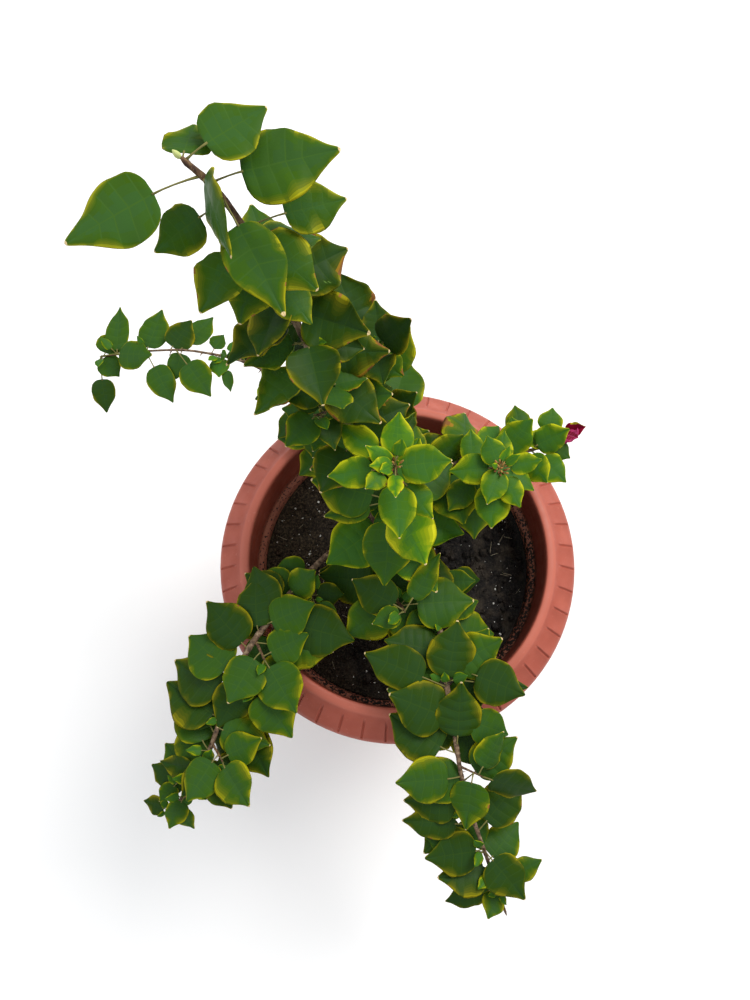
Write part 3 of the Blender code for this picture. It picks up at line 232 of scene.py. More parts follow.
# Leaves set one by one, where the plant's look hangs on them, by mass or by the side shoot
# that carries them: share of its span, compass bearing of the tip (0 is +X, 90 is +Y), rise
# and roll in degrees, length, width as a share of the length, and petiole.
SET_LEAVES = {
    "tall_top": (
        (0.86, 206, -6, 0, 0.066, 0.70, 0.033),
        (0.985, 84, -16, 0, 0.034, 0.96, 0.005),
        (0.97, 32, 3, 0, 0.047, 0.86, 0.017),
        (0.80, 12, 0, 0, 0.067, 0.76, 0.022),
        (0.46, 16, -5, 0, 0.046, 0.80, 0.030),
        (0.70, 295, -6, 0, 0.068, 0.54, 0.026),
        (0.85, 285, -10, 72, 0.060, 0.75, 0.004),
        (0.66, 208, -14, 0, 0.040, 0.86, 0.020),
        (0.42, 236, -16, 10, 0.046, 0.85, 0.020),
        (0.44, 318, -8, 8, 0.052, 0.80, 0.014),
    ),
    "left_tip": (
        (0.83, 93, -8, 0, 0.064, 0.40, 0.005),
        (0.96, 74, 12, 0, 0.034, 0.88, 0.004),
        (0.985, -50, -2, 0, 0.029, 0.90, 0.004),
        (0.985, -88, -20, 0, 0.039, 0.68, 0.027),
        (0.55, 75, -6, 0, 0.053, 0.62, 0.004),
        (0.34, 52, 8, 0, 0.038, 0.88, 0.004),
        (0.25, 57, -10, 0, 0.049, 0.60, 0.013),
        (0.985, -11, 8, 0, 0.043, 0.78, 0.030),
        (0.56, -63, -8, 0, 0.048, 0.61, 0.023),
        (0.24, -109, -22, 0, 0.030, 0.88, 0.004),
        (0.29, -56, 4, 0, 0.049, 0.68, 0.026),
    ),
    "left_middle": (
        (0.985, 58, 0, 0, 0.021, 0.90, 0.006),
        (0.90, -89, 6, 0, 0.024, 0.90, 0.004),
        (0.86, -79, -12, 0, 0.025, 0.50, 0.018),
        (0.79, 73, -6, 0, 0.020, 0.65, 0.006),
        (0.72, 35, -12, 0, 0.040, 0.60, 0.005),
        (0.63, 13, 2, 0, 0.034, 0.66, 0.004),
        (0.44, -81, -8, 0, 0.030, 0.60, 0.019),
    ),
    "centre_low": ((0.95, -171, -8, 0, 0.046, 0.56, 0.022),),
    "centre_rosette": (
        (0.86, 83, 8, 0, 0.037, 0.76, 0.015),
        (0.94, 3, 6, 0, 0.045, 0.74, 0.005),
        (0.89, -175, 2, 0, 0.040, 0.68, 0.020),
        (0.84, 136, -4, 0, 0.044, 0.58, 0.024),
        (0.80, -89, 4, 0, 0.048, 0.66, 0.014),
        (0.82, -54, -6, 0, 0.038, 0.68, 0.016),
        (0.95, 150, 30, 0, 0.030, 0.52, 0.004),
        (0.98, 70, 45, 0, 0.019, 0.62, 0.009),
        (0.95, -137, 28, 0, 0.024, 0.70, 0.018),
        (0.97, -93, 36, 0, 0.030, 0.46, 0.016),
    ),
    "rosette": (
        (0.98, 109, 10, 0, 0.028, 0.82, 0.005),
        (0.86, -178, 4, 0, 0.038, 0.75, 0.006),
        (0.98, 7, 6, 0, 0.030, 0.66, 0.010),
        (0.98, -113, 4, 0, 0.035, 0.69, 0.003),
        (0.93, -65, -4, 0, 0.031, 0.75, 0.012),
        (0.85, -97, -6, 0, 0.042, 0.78, 0.016),
        (0.49, -130, -4, 0, 0.036, 0.69, 0.019),
        (0.95, 77, 0, 0, 0.031, 0.69, 0.007),
        (0.28, 89, 0, 0, 0.036, 0.63, 0.004),
    ),
    "right_tip": (
        (0.47, 105, 12, 0, 0.027, 0.94, 0.011),
        (0.49, 94, -4, 0, 0.033, 0.79, 0.020),
        (0.93, -163, 14, 0, 0.032, 0.64, 0.020),
        (0.74, 77, 10, 0, 0.025, 0.99, 0.015),
        (0.78, -22, -14, 0, 0.024, 0.92, 0.003),
        (0.56, -46, -4, 0, 0.035, 0.82, 0.014),
    ),
    "front_leaves": (
        (0.02, 42, 8, 0, 0.058, 0.62, 0.025),
        (0.10, 130, 10, 0, 0.056, 0.44, 0.004),
        (0.02, 163, 2, 0, 0.055, 0.70, 0.023),
        (0.985, 55, 16, 0, 0.054, 0.42, 0.016),
        (0.75, 169, 10, 0, 0.036, 0.90, 0.004),
        (0.985, -162, 0, 0, 0.030, 0.72, 0.005),
    ),
    "front_right_top": (
        (0.16, -1, 4, 0, 0.032, 0.76, 0.008),
        (0.66, -158, 4, 0, 0.037, 0.95, 0.007),
        (0.63, 20, -4, 0, 0.031, 0.75, 0.013),
    ),
    "front_right_middle": (
        (0.25, 27, 8, 0, 0.054, 0.82, 0.013),
        (0.40, 156, 2, 0, 0.064, 0.64, 0.026),
        (0.70, 154, -4, 0, 0.055, 0.66, 0.016),
        (0.985, 84, 20, 0, 0.056, 0.75, 0.012),
        (0.65, -23, -8, 0, 0.038, 0.90, 0.023),
        (0.32, -8, -8, 0, 0.053, 0.54, 0.030),
    ),
    "front_right_low": (
        (0.36, 138, 4, 0, 0.055, 0.76, 0.004),
        (0.31, 35, 2, 0, 0.054, 0.71, 0.016),
        (0.84, 45, -2, 0, 0.058, 0.68, 0.013),
        (0.76, 175, -4, 0, 0.054, 0.59, 0.019),
    ),
    "front_right_tip": (
        (0.10, 164, 4, 0, 0.049, 0.69, 0.014),
        (0.06, -52, -8, 0, 0.050, 0.76, 0.012),
        (0.54, 23, -4, 0, 0.035, 0.67, 0.019),
        (0.55, 160, 4, 0, 0.040, 0.63, 0.005),
        (0.58, -165, -10, 0, 0.043, 0.54, 0.013),
        (0.62, -102, -10, 0, 0.026, 0.85, 0.003),
    ),
    "front_left_top": (
        (0.68, -17, 0, 0, 0.064, 0.77, 0.027),
        (0.96, -9, -6, 0, 0.062, 0.68, 0.022),
    ),
}


def unit(v):
    return v / np.linalg.norm(v)


def blend(pair, t):
    return pair[0] + (pair[1] - pair[0]) * t


def turned(v, axis, degrees):
    """The vector v turned about an axis."""
    angle = math.radians(degrees)
    return (v * math.cos(angle) + np.cross(axis, v) * math.sin(angle)
            + axis * (axis @ v) * (1 - math.cos(angle)))


class Route:
    """A smooth curve through a limb's points, read by the distance along it."""

    PIECES = 16

    def __init__(self, points):
        knots = [np.array(p) for p in points]
        knots = [2 * knots[0] - knots[1]] + knots + [2 * knots[-1] - knots[-2]]
        dense = []
        for a, b, c, d in zip(knots, knots[1:], knots[2:], knots[3:]):
            for k in range(self.PIECES):
                t = k / self.PIECES
                bend = 2 * a - 5 * b + 4 * c - d + t * (3 * b - a - 3 * c + d)
                dense.append(b + 0.5 * t * (c - a + t * bend))
        dense.append(knots[-2])
        self.points = np.array(dense)
        steps = np.linalg.norm(np.diff(self.points, axis=0), axis=1)
        self.along = np.concatenate([[0.0], np.cumsum(steps)])
        self.length = self.along[-1]

    def at(self, s):
        return np.array([np.interp(s, self.along, self.points[:, k]) for k in range(3)])

    def heading(self, s):
        reach = 0.003
        return unit(self.at(min(s + reach, self.length)) - self.at(max(s - reach, 0.0)))


# ---- the rule that places leaves and twigs -----------------------------------------
UP = np.array((0.0, 0.0, 1.0))
LIGHT_WAY = np.array(LIGHT)


def stem_frame(heading):
    """The stem's right-hand side and its upper side."""
    upright = abs(heading[2]) > 0.96
    side = unit(np.cross(heading, (0.0, -1.0, 0.0) if upright else UP))
    return side, np.cross(side, heading)


def facing_light(aim, roll):
    face = unit(LIGHT_WAY - (LIGHT_WAY @ aim) * aim)
    return turned(face, aim, roll)


def leaf_on_stem(foot, heading, clock, sweep, rise, roll, length, width, petiole, flatten):
    side, over = stem_frame(heading)
    a = math.radians(clock)
    b = math.radians(sweep)
    out = side * math.sin(a) + over * math.cos(a)
    aim = heading * math.cos(b) + out * math.sin(b)
    aim[2] = aim[2] * (1 - flatten) + math.sin(math.radians(rise))
    aim = unit(aim)
    lean = unit(0.75 * aim + 0.35 * out + 0.25 * UP)
    return Leaf(foot, foot + lean * petiole, aim, facing_light(aim, roll), length, width * length)


def leaf_by_compass(foot, bearing, rise, roll, length, width, petiole):
    a = math.radians(bearing)
    b = math.radians(rise)
    aim = np.array((math.cos(a) * math.cos(b), math.sin(a) * math.cos(b), math.sin(b)))
    base = foot + unit(aim + 0.2 * UP) * petiole
    return Leaf(foot, base, aim, facing_light(aim, roll), length, width * length)


def twig_with_leaves(rng, foot, heading, clock, rise, roll, size, width, mass):
    """A side twig and its three leaves: one on each side and one at the tip."""
    side, over = stem_frame(heading)
    a = math.radians(clock)
    b = math.radians(TWIG_FORK)
    aim = unit(heading * math.cos(b) + (side * math.sin(a) + over * math.cos(a)) * math.sin(b)
               + 0.25 * UP)
    reach = mass["twig"] * rng.uniform(0.8, 1.25)
    leaves = []
    for share, turn, sweep, scale in TWIG_LEAVES:
        leaves.append(leaf_on_stem(foot + aim * reach * share, aim, turn + rng.uniform(-20, 20),
                                   sweep + rng.uniform(-15, 15), rise,
                                   roll + rng.uniform(-10, 10), size * scale, width,
                                   size * scale * 0.2, mass["flatten"]))
    return (foot, foot + aim * reach), leaves


def crown_leaves(rng, route, end, crown):
    """A rosette at a stem's tip, whose inner leaves are smaller and stand up more."""
    count, size, turn = crown
    leaves = []
    for k in range(count):
        inward = k / (count - 1)
        young = max(inward - YOUNG_SHARE, 0) / (1 - YOUNG_SHARE)
        s = end - 0.002 - 0.014 * (1 - inward)
        length = size * (1 - 0.12 * inward) * (0.56 - 0.22 * young if young else 1)
        length *= rng.uniform(0.94, 1.06)
        leaves.append(leaf_on_stem(route.at(s), route.heading(s), turn + GOLDEN * k,
                                   86 - 40 * young + rng.uniform(-6, 6), 2 + 10 * inward,
                                   rng.uniform(-8, 8), length, rng.uniform(0.74, 0.84),
                                   length * (0.26 - 0.16 * inward), 0.0))
    return leaves


def side_of_node(rng, mass, k):
    """The clock angle of node k round the stem: 90 is its right-hand side, 0 its top."""
    if mass["pattern"] == "spiral":
        return mass["turn"] + GOLDEN * k + rng.uniform(-12, 12)
    hand = 1 if k % 2 == 0 else -1
    clock = hand * 90 + rng.uniform(-30, 30)
    if k % 4 == 3:
        clock = rng.uniform(-25, 25)
    elif k % 7 == 5:
        clock = 180 + rng.uniform(-30, 30)
    return clock


def grow(route, start, end, mass):
    """The twigs (pairs of points) and leaves of a mass, by its own seeded rule."""
    rng = random.Random(mass["seed"])
    twigs = []
    leaves = []
    last = start + (end - start) * mass.get("until", 1.0) - 0.002
    s = start + 0.004
    k = 0
    while s < last:
        t = (s - start) / (end - start)
        foot = route.at(s)
        heading = route.heading(s)
        clock = side_of_node(rng, mass, k)
        sweep = blend(mass["sweep"], t) + rng.uniform(-14, 14)
        rise = blend(mass.get("rise", (-4, -4)), t) + rng.uniform(-16, 14)
        roll = rng.uniform(-28, 28)
        size = blend(mass["size"], t) * rng.uniform(0.84, 1.1)
        width = rng.uniform(0.76, 0.88)
        petiole = size * mass.get("petiole", 0.22) * rng.uniform(0.75, 1.25)
        if "twig" in mass and k % mass["twig_every"] == 1:
            twig, pair = twig_with_leaves(rng, foot, heading, clock, rise, roll, size, width, mass)
            twigs.append(twig)
            leaves += pair
        else:
            leaves.append(leaf_on_stem(foot, heading, clock, sweep, rise, roll, size, width,
                                       petiole, mass["flatten"]))
        s += blend(mass["step"], t) * rng.uniform(0.85, 1.15)
        k += 1
    if "crown" in mass:
        leaves += crown_leaves(rng, route, end, mass["crown"])
    return twigs, leaves


# ---- which leaves stand in the frame -----------------------------------------------
# Small turns (rise, bearing) that a leaf may make to find room, in degrees.
NUDGES = ((0, 0), (10, 0), (-10, 0), (0, 14), (0, -14), (18, 8), (-18, -8), (24, -16), (8, 26),
          (-26, 14), (10, -30), (32, 0))
SAME_POINT = 0.0002         # a leaf's solid is there if a corner of its node is this near its tip

Sprig = namedtuple("Sprig", "name route leaves twigs")


def nudged(leaf, rise, bearing):
    level = np.cross(leaf.aim, UP)
    if np.linalg.norm(level) < 0.05:
        level = np.array((1.0, 0.0, 0.0))
    level = unit(level)
    aim = turned(turned(leaf.aim, level, rise), UP, bearing)
    face = turned(turned(leaf.face, level, rise), UP, bearing)
    stalk = turned(turned(leaf.base - leaf.foot, level, rise), UP, bearing)
    return leaf._replace(base=leaf.foot + stalk, aim=aim, face=face)


def bract_leaves(route, end, count):
    """Papery bracts round the tip of a flowering twig."""
    tip = route.at(end - 0.0015)
    return [leaf_by_compass(tip, 8 - BRACT_FAN * k, 24 + 12 * k, 0, BRACT_SIZE, 0.80, 0.003)
            for k in range(count)]


def set_leaves(key, route, start, end):
    """The leaves set one by one on a stretch of a route."""
    return [leaf_by_compass(route.at(start + share * (end - start)), *rest)
            for share, *rest in SET_LEAVES.get(key, ())]


def mass_leaves(name, mass, route, start, end):
    """A mass's bracts, its twigs and its leaves, before any is turned or left out."""
    twigs, leaves = grow(route, start, end, mass)
    leaves = set_leaves(name, route, start, end) + leaves
    if "shoot" in mass:
        shoot = Route(ROUTES[mass["shoot"]])
        leaves = set_leaves(mass["shoot"], shoot, 0.0, shoot.length) + leaves
    bracts = bract_leaves(route, end, mass["bracts"]) if "bracts" in mass else []
    return bracts, twigs, leaves


def corners_of(node):
    """A search tree over the corners of a node's solid."""
    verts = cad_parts[node].data.vertices
    tree = KDTree(len(verts))
    for k, v in enumerate(verts):
        tree.insert(v.co, k)
    tree.balance()
    return tree


def standing(leaf, corners):
    """The leaf as its solid stands, or None where the rule found no room for it."""
    for rise, bearing in NUDGES:
        trial = nudged(leaf, rise, bearing)
        if corners.find(trial.base + trial.aim * trial.length)[2] < SAME_POINT:
            return trial
    return None


def on_twig(leaf, foot, tip):
    reach = tip - foot
    share = float(np.dot(leaf.foot - foot, reach) / np.dot(reach, reach))
    off = np.linalg.norm(leaf.foot - foot - reach * share)
    return off < 1e-6 and 0.3 < share < 1.01


def grow_sprigs():
    """Every mass's leaves and twigs as they stand, and the bracts apart."""
    sprigs = []
    flowers = []
    for name, mass in MASSES.items():
        route = Route(ROUTES[mass["route"]])
        start, end = (route.length * share for share in mass["span"])
        corners = corners_of(name)
        bracts, twigs, leaves = mass_leaves(name, mass, route, start, end)
        leaves = [leaf for leaf in (standing(leaf, corners) for leaf in leaves) if leaf]
        flowers += [leaf for leaf in (standing(leaf, corners) for leaf in bracts) if leaf]
        twigs = [twig for twig in twigs if any(on_twig(leaf, *twig) for leaf in leaves)]
        sprigs.append(Sprig(name, mass["route"], leaves, twigs))
    return sprigs, flowers


# ---- colours -----------------------------------------------------------------------
def linear(r, g, b):
    """An sRGB colour, 0 to 255, as the shader's linear one."""
    shares = [c / 255 for c in (r, g, b)]
    return tuple(c / 12.92 if c <= 0.04045 else ((c + 0.055) / 1.055) ** 2.4 for c in shares)


# Each kind of leaf: the middle of its blade, its outer blade, olive, and its margin. The middle's
# bluer tint is partly the blade's own green and partly a painted sheen of the sky.
LEAF_KINDS = {
    "old": ((50, 84, 34), (52, 82, 10), (90, 102, 14), (154, 150, 26)),
    "dark": ((37, 63, 24), (40, 63, 7), (74, 80, 8), (130, 122, 12)),
    "mid": ((46, 78, 30), (51, 82, 12), (86, 98, 10), (148, 144, 14)),
    "fresh": ((52, 92, 32), (60, 96, 12), (106, 122, 10), (166, 168, 18)),
    "lime": ((58, 102, 30), (76, 116, 14), (128, 142, 14), (182, 180, 26)),
}
LEVELS = 9                  # colours from the middle of a blade to its margin
VEIN_LIFT = 0.035           # how much paler a vein is than its blade
DRY_POINT = 0.22            # leaves drier than this have a bleached point
DRY_EDGE = (136, 96, 44)
DRY_TIP = (202, 180, 134)
SCORCHED = (132, 100, 24)   # round a burnt patch
BURNT = (116, 78, 40)
LEAF_UNDER = (84, 112, 48)
STALK = (112, 108, 62)
BUD = (104, 70, 40)
TAN_BUD = (168, 126, 70)
TIP_BUD = (182, 190, 122)
BRACT_COLOURS = ((122, 12, 40), (172, 52, 100), (196, 88, 132))
BRACT_EDGE = (176, 164, 40)
VEIN_TINT = (190, 204, 120)
# Dark, middle and pale, for what is mottled or streaked.
PLASTIC = ((149, 67, 49), (157, 74, 56), (167, 83, 64))
MOIST_SOIL = ((6, 4, 3), (24, 19, 16), (62, 54, 46))
DRY_SOIL = ((18, 13, 9), (52, 42, 30), (98, 84, 64))
OLD_BARK = ((58, 44, 34), (104, 82, 62), (146, 124, 100))
YOUNG_BARK = ((52, 34, 24), (88, 62, 42), (118, 96, 60))
PAINTED_ROLL_HIGHLIGHT = (186, 106, 88)  # the top of the pot's rolled edge, painted pale as a highlight
SCUFF = (192, 124, 106)
# painted shade on the inside of the pot's right wall
PAINTED_WALL_SHADE = (92, 34, 24)
# the inner ledge's colour: partly dust, partly painted light where the ledge lies in shade
LEDGE_DUST_AND_LIGHT = (172, 116, 94)
SPLASH = (30, 21, 16)
SOIL_CRUST = (78, 68, 56)
BARK_PORE = (150, 128, 96)
PERLITE = (246, 244, 236)
STRAW = (150, 140, 118)


def mixed(a, b, t):
    return tuple(x + (y - x) * t for x, y in zip(a, b))


def leaf_ramp(kind):
    """A kind's colours: the middle of the blade (its blue partly a painted sky sheen), its outer
    blade, olive, then the margin.
    """
    middle, outer, olive, margin = LEAF_KINDS[kind]
    half = (LEVELS - 3) // 2
    ramp = [mixed(middle, outer, k / 3) for k in range(3)]
    ramp += [mixed(outer, olive, k / half) for k in range(half)]
    return ramp + [mixed(olive, margin, k / (half - 1)) for k in range(half)]


# ---- materials ---------------------------------------------------------------------
def add_node(tree, kind, inputs, settings):
    """A new node of a tree, its settings made and its inputs set, or linked where given one."""
    made = tree.nodes.new(kind)
    for key, value in settings.items():
        setattr(made, key, value)
    for key, value in (inputs or {}).items():
        if isinstance(value, bpy.types.NodeSocket):
            tree.links.new(value, made.inputs[key])
        else:
            made.inputs[key].default_value = value
    return made


class Paint:
    """A material's node tree, put together a node at a time."""

    def __init__(self, name, roughness=0.5, specular=0.5):
        self.material = bpy.data.materials.new(name)
        self.material.use_nodes = True
        self.tree = self.material.node_tree
        self.shader = self.tree.nodes["Principled BSDF"]
        self.shader.inputs["Roughness"].default_value = roughness
        self.shader.inputs["Specular IOR Level"].default_value = specular
        self.place = self.tree.nodes.new("ShaderNodeTexCoord").outputs["Object"]

    def node(self, kind, inputs=None, **settings):
        return add_node(self.tree, kind, inputs, settings)

    def noise(self, scale, detail=3.0, stretch=None):
        place = self.place
        if stretch:
            place = self.node("ShaderNodeMapping", {"Vector": place, "Scale": stretch}).outputs[0]
        return self.node("ShaderNodeTexNoise", {"Vector": place, "Scale": scale,
                                                "Detail": detail}).outputs["Fac"]

    def ramp(self, value, positions, colours):
        """Colours by a value: each of them at its position, and blends in between."""
        made = self.node("ShaderNodeValToRGB", {"Fac": value})
        band = made.color_ramp
        while len(band.elements) < len(colours):
            band.elements.new(0.5)
        for element, position, colour in zip(band.elements, positions, colours):
            element.position = position
            element.color = (*linear(*colour), 1.0)
        return made.outputs["Color"]

    def mix(self, share, a, b):
        made = self.node("ShaderNodeMix", data_type="RGBA")
        for socket, value in ((0, share), (6, a), (7, b)):
            if isinstance(value, bpy.types.NodeSocket):
                self.tree.links.new(value, made.inputs[socket])
            else:
                made.inputs[socket].default_value = value if socket == 0 else (*value, 1.0)
        return made.outputs[2]

    def maths(self, operation, a, b):
        return self.node("ShaderNodeMath", {0: a, 1: b}, operation=operation).outputs[0]

    def span(self, value, low, high, to_low=0.0, to_high=1.0):
        """A value taken from one span to another, and held at its ends."""
        return self.node("ShaderNodeMapRange", {"Value": value, "From Min": low, "From Max": high,
                                                "To Min": to_low, "To Max": to_high}).outputs[0]

    def xyz(self):
        return self.node("ShaderNodeSeparateXYZ", {"Vector": self.place}).outputs

    def colour(self, value):
        if isinstance(value, bpy.types.NodeSocket):
            self.tree.links.new(value, self.shader.inputs["Base Color"])
        else:
            self.shader.inputs["Base Color"].default_value = (*value, 1.0)

    def rough(self, value):
        self.tree.links.new(value, self.shader.inputs["Roughness"])

    def bump(self, height, strength, distance):
        made = self.node("ShaderNodeBump", {"Height": height, "Strength": strength,
                                            "Distance": distance})
        self.tree.links.new(made.outputs["Normal"], self.shader.inputs["Normal"])


LEAF_SHINE = 0.06
LEAF_GRAIN = 420.0


def leaf_paint(name, colour, roughness):
    """One plain colour of a leaf, with the fine grain of its skin."""
    paint = Paint(name, roughness, LEAF_SHINE)
    paint.colour(linear(*colour))
    paint.bump(paint.noise(LEAF_GRAIN, 2.0), 0.25, 0.0004)
    return paint.material


def leaf_paints():
    """Every colour that a leaf's faces are dealt, by name."""
    paints = {}
    for kind in LEAF_KINDS:
        ramp = leaf_ramp(kind)
        for k, colour in enumerate(ramp):
            paints[f"{kind}_{k}"] = leaf_paint(f"leaf_{kind}_{k}", colour, 0.42 + 0.02 * k)
        pale = mixed(ramp[1], VEIN_TINT, VEIN_LIFT)
        paints[f"{kind}_vein"] = leaf_paint(f"leaf_{kind}_vein", pale, 0.46)
    for name, colour, roughness in (("dry_edge", DRY_EDGE, 0.7), ("dry_tip", DRY_TIP, 0.75),
                                    ("scorched", SCORCHED, 0.65), ("burnt", BURNT, 0.75),
                                    ("under", LEAF_UNDER, 0.6), ("stalk", STALK, 0.55),
                                    ("bud", BUD, 0.7), ("tan_bud", TAN_BUD, 0.7),
                                    ("tip_bud", TIP_BUD, 0.5)):
        paints[name] = leaf_paint("leaf_" + name, colour, roughness)
    return paints


def bract_paints():
    paints = {f"bract_{k}": leaf_paint(f"bract_{k}", colour, 0.6)
              for k, colour in enumerate(BRACT_COLOURS)}
    paints["bract_edge"] = leaf_paint("bract_edge", BRACT_EDGE, 0.6)
    return paints


def inner_side(paint, radius, z):
    """A mask of the pot's inner side up to its mouth, the only side that soil has marked, and where
    the painted shade and the ledge's painted light go.
    """
    mid_wall = paint.maths("ADD", paint.maths("MULTIPLY", z, WALL_TAPER),
                           BODY_TOP_RADIUS + WALL / 2 - WALL_TAPER * BODY_TOP)
    inner = paint.maths("MAXIMUM", paint.span(z, BODY_TOP - 0.001, BODY_TOP),
                        paint.maths("LESS_THAN", radius, mid_wall))
    inner = paint.maths("MULTIPLY", inner, paint.span(z, FLOOR / 2, FLOOR))
    return paint.maths("MULTIPLY", inner,
                       paint.span(radius, MOUTH_RADIUS + 0.002, MOUTH_RADIUS + 0.001))


def splashed(paint, x, y, z):
    """A mask of soil specks above the ledge, thickest at the front right."""
    cake = paint.maths("SUBTRACT", paint.maths("MULTIPLY", x, 1.3), paint.maths("MULTIPLY", y, 1.6))
    cake = paint.maths("ADD", cake, paint.maths("MULTIPLY", paint.noise(16.0, 2.0), 0.5))
    clear = paint.span(cake, -0.15, 0.55, 0.64, 0.45)
    specks = paint.maths("GREATER_THAN", paint.noise(360.0, 4.0), clear)
    return paint.maths("MULTIPLY", specks,
                       paint.span(z, COLLAR_FOOT + 0.012, COLLAR_FOOT + 0.001))


def pot_paint():
    """Moulded terracotta plastic: mottled, scuffed, soil on the inner ledge, a painted highlight on
    the rolled edge, painted shade on the inner right wall, and a paler ledge, part dust, part
    painted light.
    """
    paint = Paint("pot_plastic", 0.45, 0.28)
    x, y, z = paint.xyz()
    radius = paint.node("ShaderNodeVectorMath", {0: paint.node(
        "ShaderNodeCombineXYZ", {"X": x, "Y": y}).outputs[0]}, operation="LENGTH").outputs["Value"]
    plastic = paint.ramp(paint.noise(38.0, 6.0), (0.30, 0.52, 0.75), PLASTIC)
    # painted highlight: the top of the rolled inner edge is painted paler, standing in for the
    # light it catches
    roll_highlight = paint.maths("MULTIPLY", paint.span(radius, ROLL_EDGE, ROLL_EDGE - 0.002),
                       paint.span(z, RIM_TOP - 0.010, RIM_TOP - 0.004))
    plastic = paint.mix(paint.maths("MULTIPLY", roll_highlight, 0.55), plastic, linear(*PAINTED_ROLL_HIGHLIGHT))
    scuffs = paint.span(paint.noise(240.0, 4.0), 0.66, 0.74)
    plastic = paint.mix(paint.maths("MULTIPLY", scuffs, 0.35), plastic, linear(*SCUFF))
    inside = inner_side(paint, radius, z)
    # painted shade: the inner wall darkens towards +X, standing in for the shadow of the rim there
    wall_shade = paint.maths("MULTIPLY", paint.span(x, 0.0, 0.14), inside)
    plastic = paint.mix(paint.maths("MULTIPLY", wall_shade, 0.6), plastic, linear(*PAINTED_WALL_SHADE))
    # the ledge is painted paler: partly dust, partly painted light standing in for the light it
    # gets from above
    ledge = paint.span(z, COLLAR_FOOT + 0.004, COLLAR_FOOT - 0.001)
    dust_and_light = paint.maths("MULTIPLY", paint.maths("MULTIPLY", ledge, inside), 0.6)
    plastic = paint.mix(dust_and_light, plastic, linear(*LEDGE_DUST_AND_LIGHT))
    splash = paint.maths("MULTIPLY", splashed(paint, x, y, z), inside)
    paint.colour(paint.mix(splash, plastic, linear(*SPLASH)))
    paint.rough(paint.span(paint.noise(90.0, 4.0), 0.3, 0.7, 0.38, 0.56))
    paint.bump(paint.noise(900.0, 3.0), 0.18, 0.0005)
    return paint.material


def soil_paint():
    """Potting mix: near black where moist, greyer brown where it has dried, to the left."""
    paint = Paint("potting_soil", 0.9, 0.3)
    x = paint.xyz()["X"]
    patch = paint.maths("ADD", paint.maths("MULTIPLY", x, -5.0), paint.noise(14.0, 3.0))
    dryness = paint.span(patch, 0.45, 1.10)
    grain = paint.maths("ADD", paint.maths("MULTIPLY", paint.noise(420.0, 6.0), 0.6),
                        paint.maths("MULTIPLY", paint.noise(900.0, 3.0), 0.4))
    moist = paint.ramp(grain, (0.40, 0.54, 0.66), MOIST_SOIL)
    dry = paint.ramp(grain, (0.36, 0.50, 0.64), DRY_SOIL)
    crust = paint.span(paint.noise(46.0, 4.0), 0.50, 0.66, 0.0, 0.55)
    moist = paint.mix(crust, moist, linear(*SOIL_CRUST))
    paint.colour(paint.mix(dryness, moist, dry))
    paint.rough(paint.span(dryness, 0.0, 1.0, 0.72, 0.95))
    paint.bump(paint.noise(480.0, 5.0), 0.9, 0.0020)
    return paint.material


def speck_paint(name, colour, roughness):
    paint = Paint(name, roughness, 0.3)
    paint.colour(linear(*colour))
    paint.bump(paint.noise(900.0, 3.0), 0.5, 0.0006)
    return paint.material


def bark_paint(name, shades, streaks):
    """Bark with streaks that run up the limb, pale pores and a rough skin."""
    paint = Paint(name, 0.75, 0.3)
    streak = paint.noise(streaks, 5.0, (1.0, 1.0, 0.22))
    bark = paint.ramp(streak, (0.34, 0.52, 0.70), shades)
    pores = paint.span(paint.noise(620.0, 2.0), 0.66, 0.70)
    paint.colour(paint.mix(paint.maths("MULTIPLY", pores, 0.6), bark, linear(*BARK_PORE)))
    paint.rough(paint.span(paint.noise(160.0, 3.0), 0.3, 0.7, 0.62, 0.86))
    paint.bump(paint.noise(streaks * 1.6, 5.0, (1.0, 1.0, 0.3)), 0.6, 0.0011)
    return paint.material


# ---- meshes ------------------------------------------------------------------------
def make_piece(name, verts, faces, materials, picks=None, smooth=True):
    """A mesh object, each of whose faces has one of its materials."""
    mesh = bpy.data.meshes.new(name)
    mesh.from_pydata(verts, [], faces)
    for material in materials:
        mesh.materials.append(material)
    if picks is not None:
        mesh.polygons.foreach_set("material_index", picks)
    mesh.polygons.foreach_set("use_smooth", [smooth] * len(mesh.polygons))
    mesh.update()
    piece = bpy.data.objects.new(name, mesh)
    bpy.context.scene.collection.objects.link(piece)
    return piece


def settle(piece, slot, *nodes):
    """Tie a finished piece to the frame's root body and hide the nodes it stands for; its slot is
    not used.
    """
    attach(piece, "root")
    if nodes:
        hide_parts(*nodes)


# ---- leaf meshes -------------------------------------------------------------------
VEIN_PAIRS = 4
VEIN_FIRST = 0.115          # where the first pair of side veins leaves the midrib
VEIN_STEP = 0.165
VEIN_WIDTH = 0.014
VEIN_SWEEP = 0.20           # how far a side vein runs forward on its way to the margin
# Columns of faces, from the midrib to the edge: those past GREEN make up the margin, and so
# they bunch up where the margin is narrow.
GREEN = 0.46
FULL_COLUMNS = (0.012, 0.16, 0.31, 0.46, 0.55, 0.64, 0.73, 0.82, 0.91, 1.0)
FULL_UNDER = (0.012, 0.31, 0.46, 0.64, 0.82, 1.0)
SMALL_ROWS = (0.0, 0.12, 0.3, 0.5, 0.7, 0.86, 1.0)
SMALL_COLUMNS = (0.03, 0.25, 0.46, 0.73, 1.0)
SMALL_UNDER = (0.03, 0.46, 1.0)
BLADE_THICKNESS = 0.0007
WAVE_PARTS = ((0.9, 0.55), (2.2, 0.30), (4.1, 0.15))    # waves a leaf, and their heights


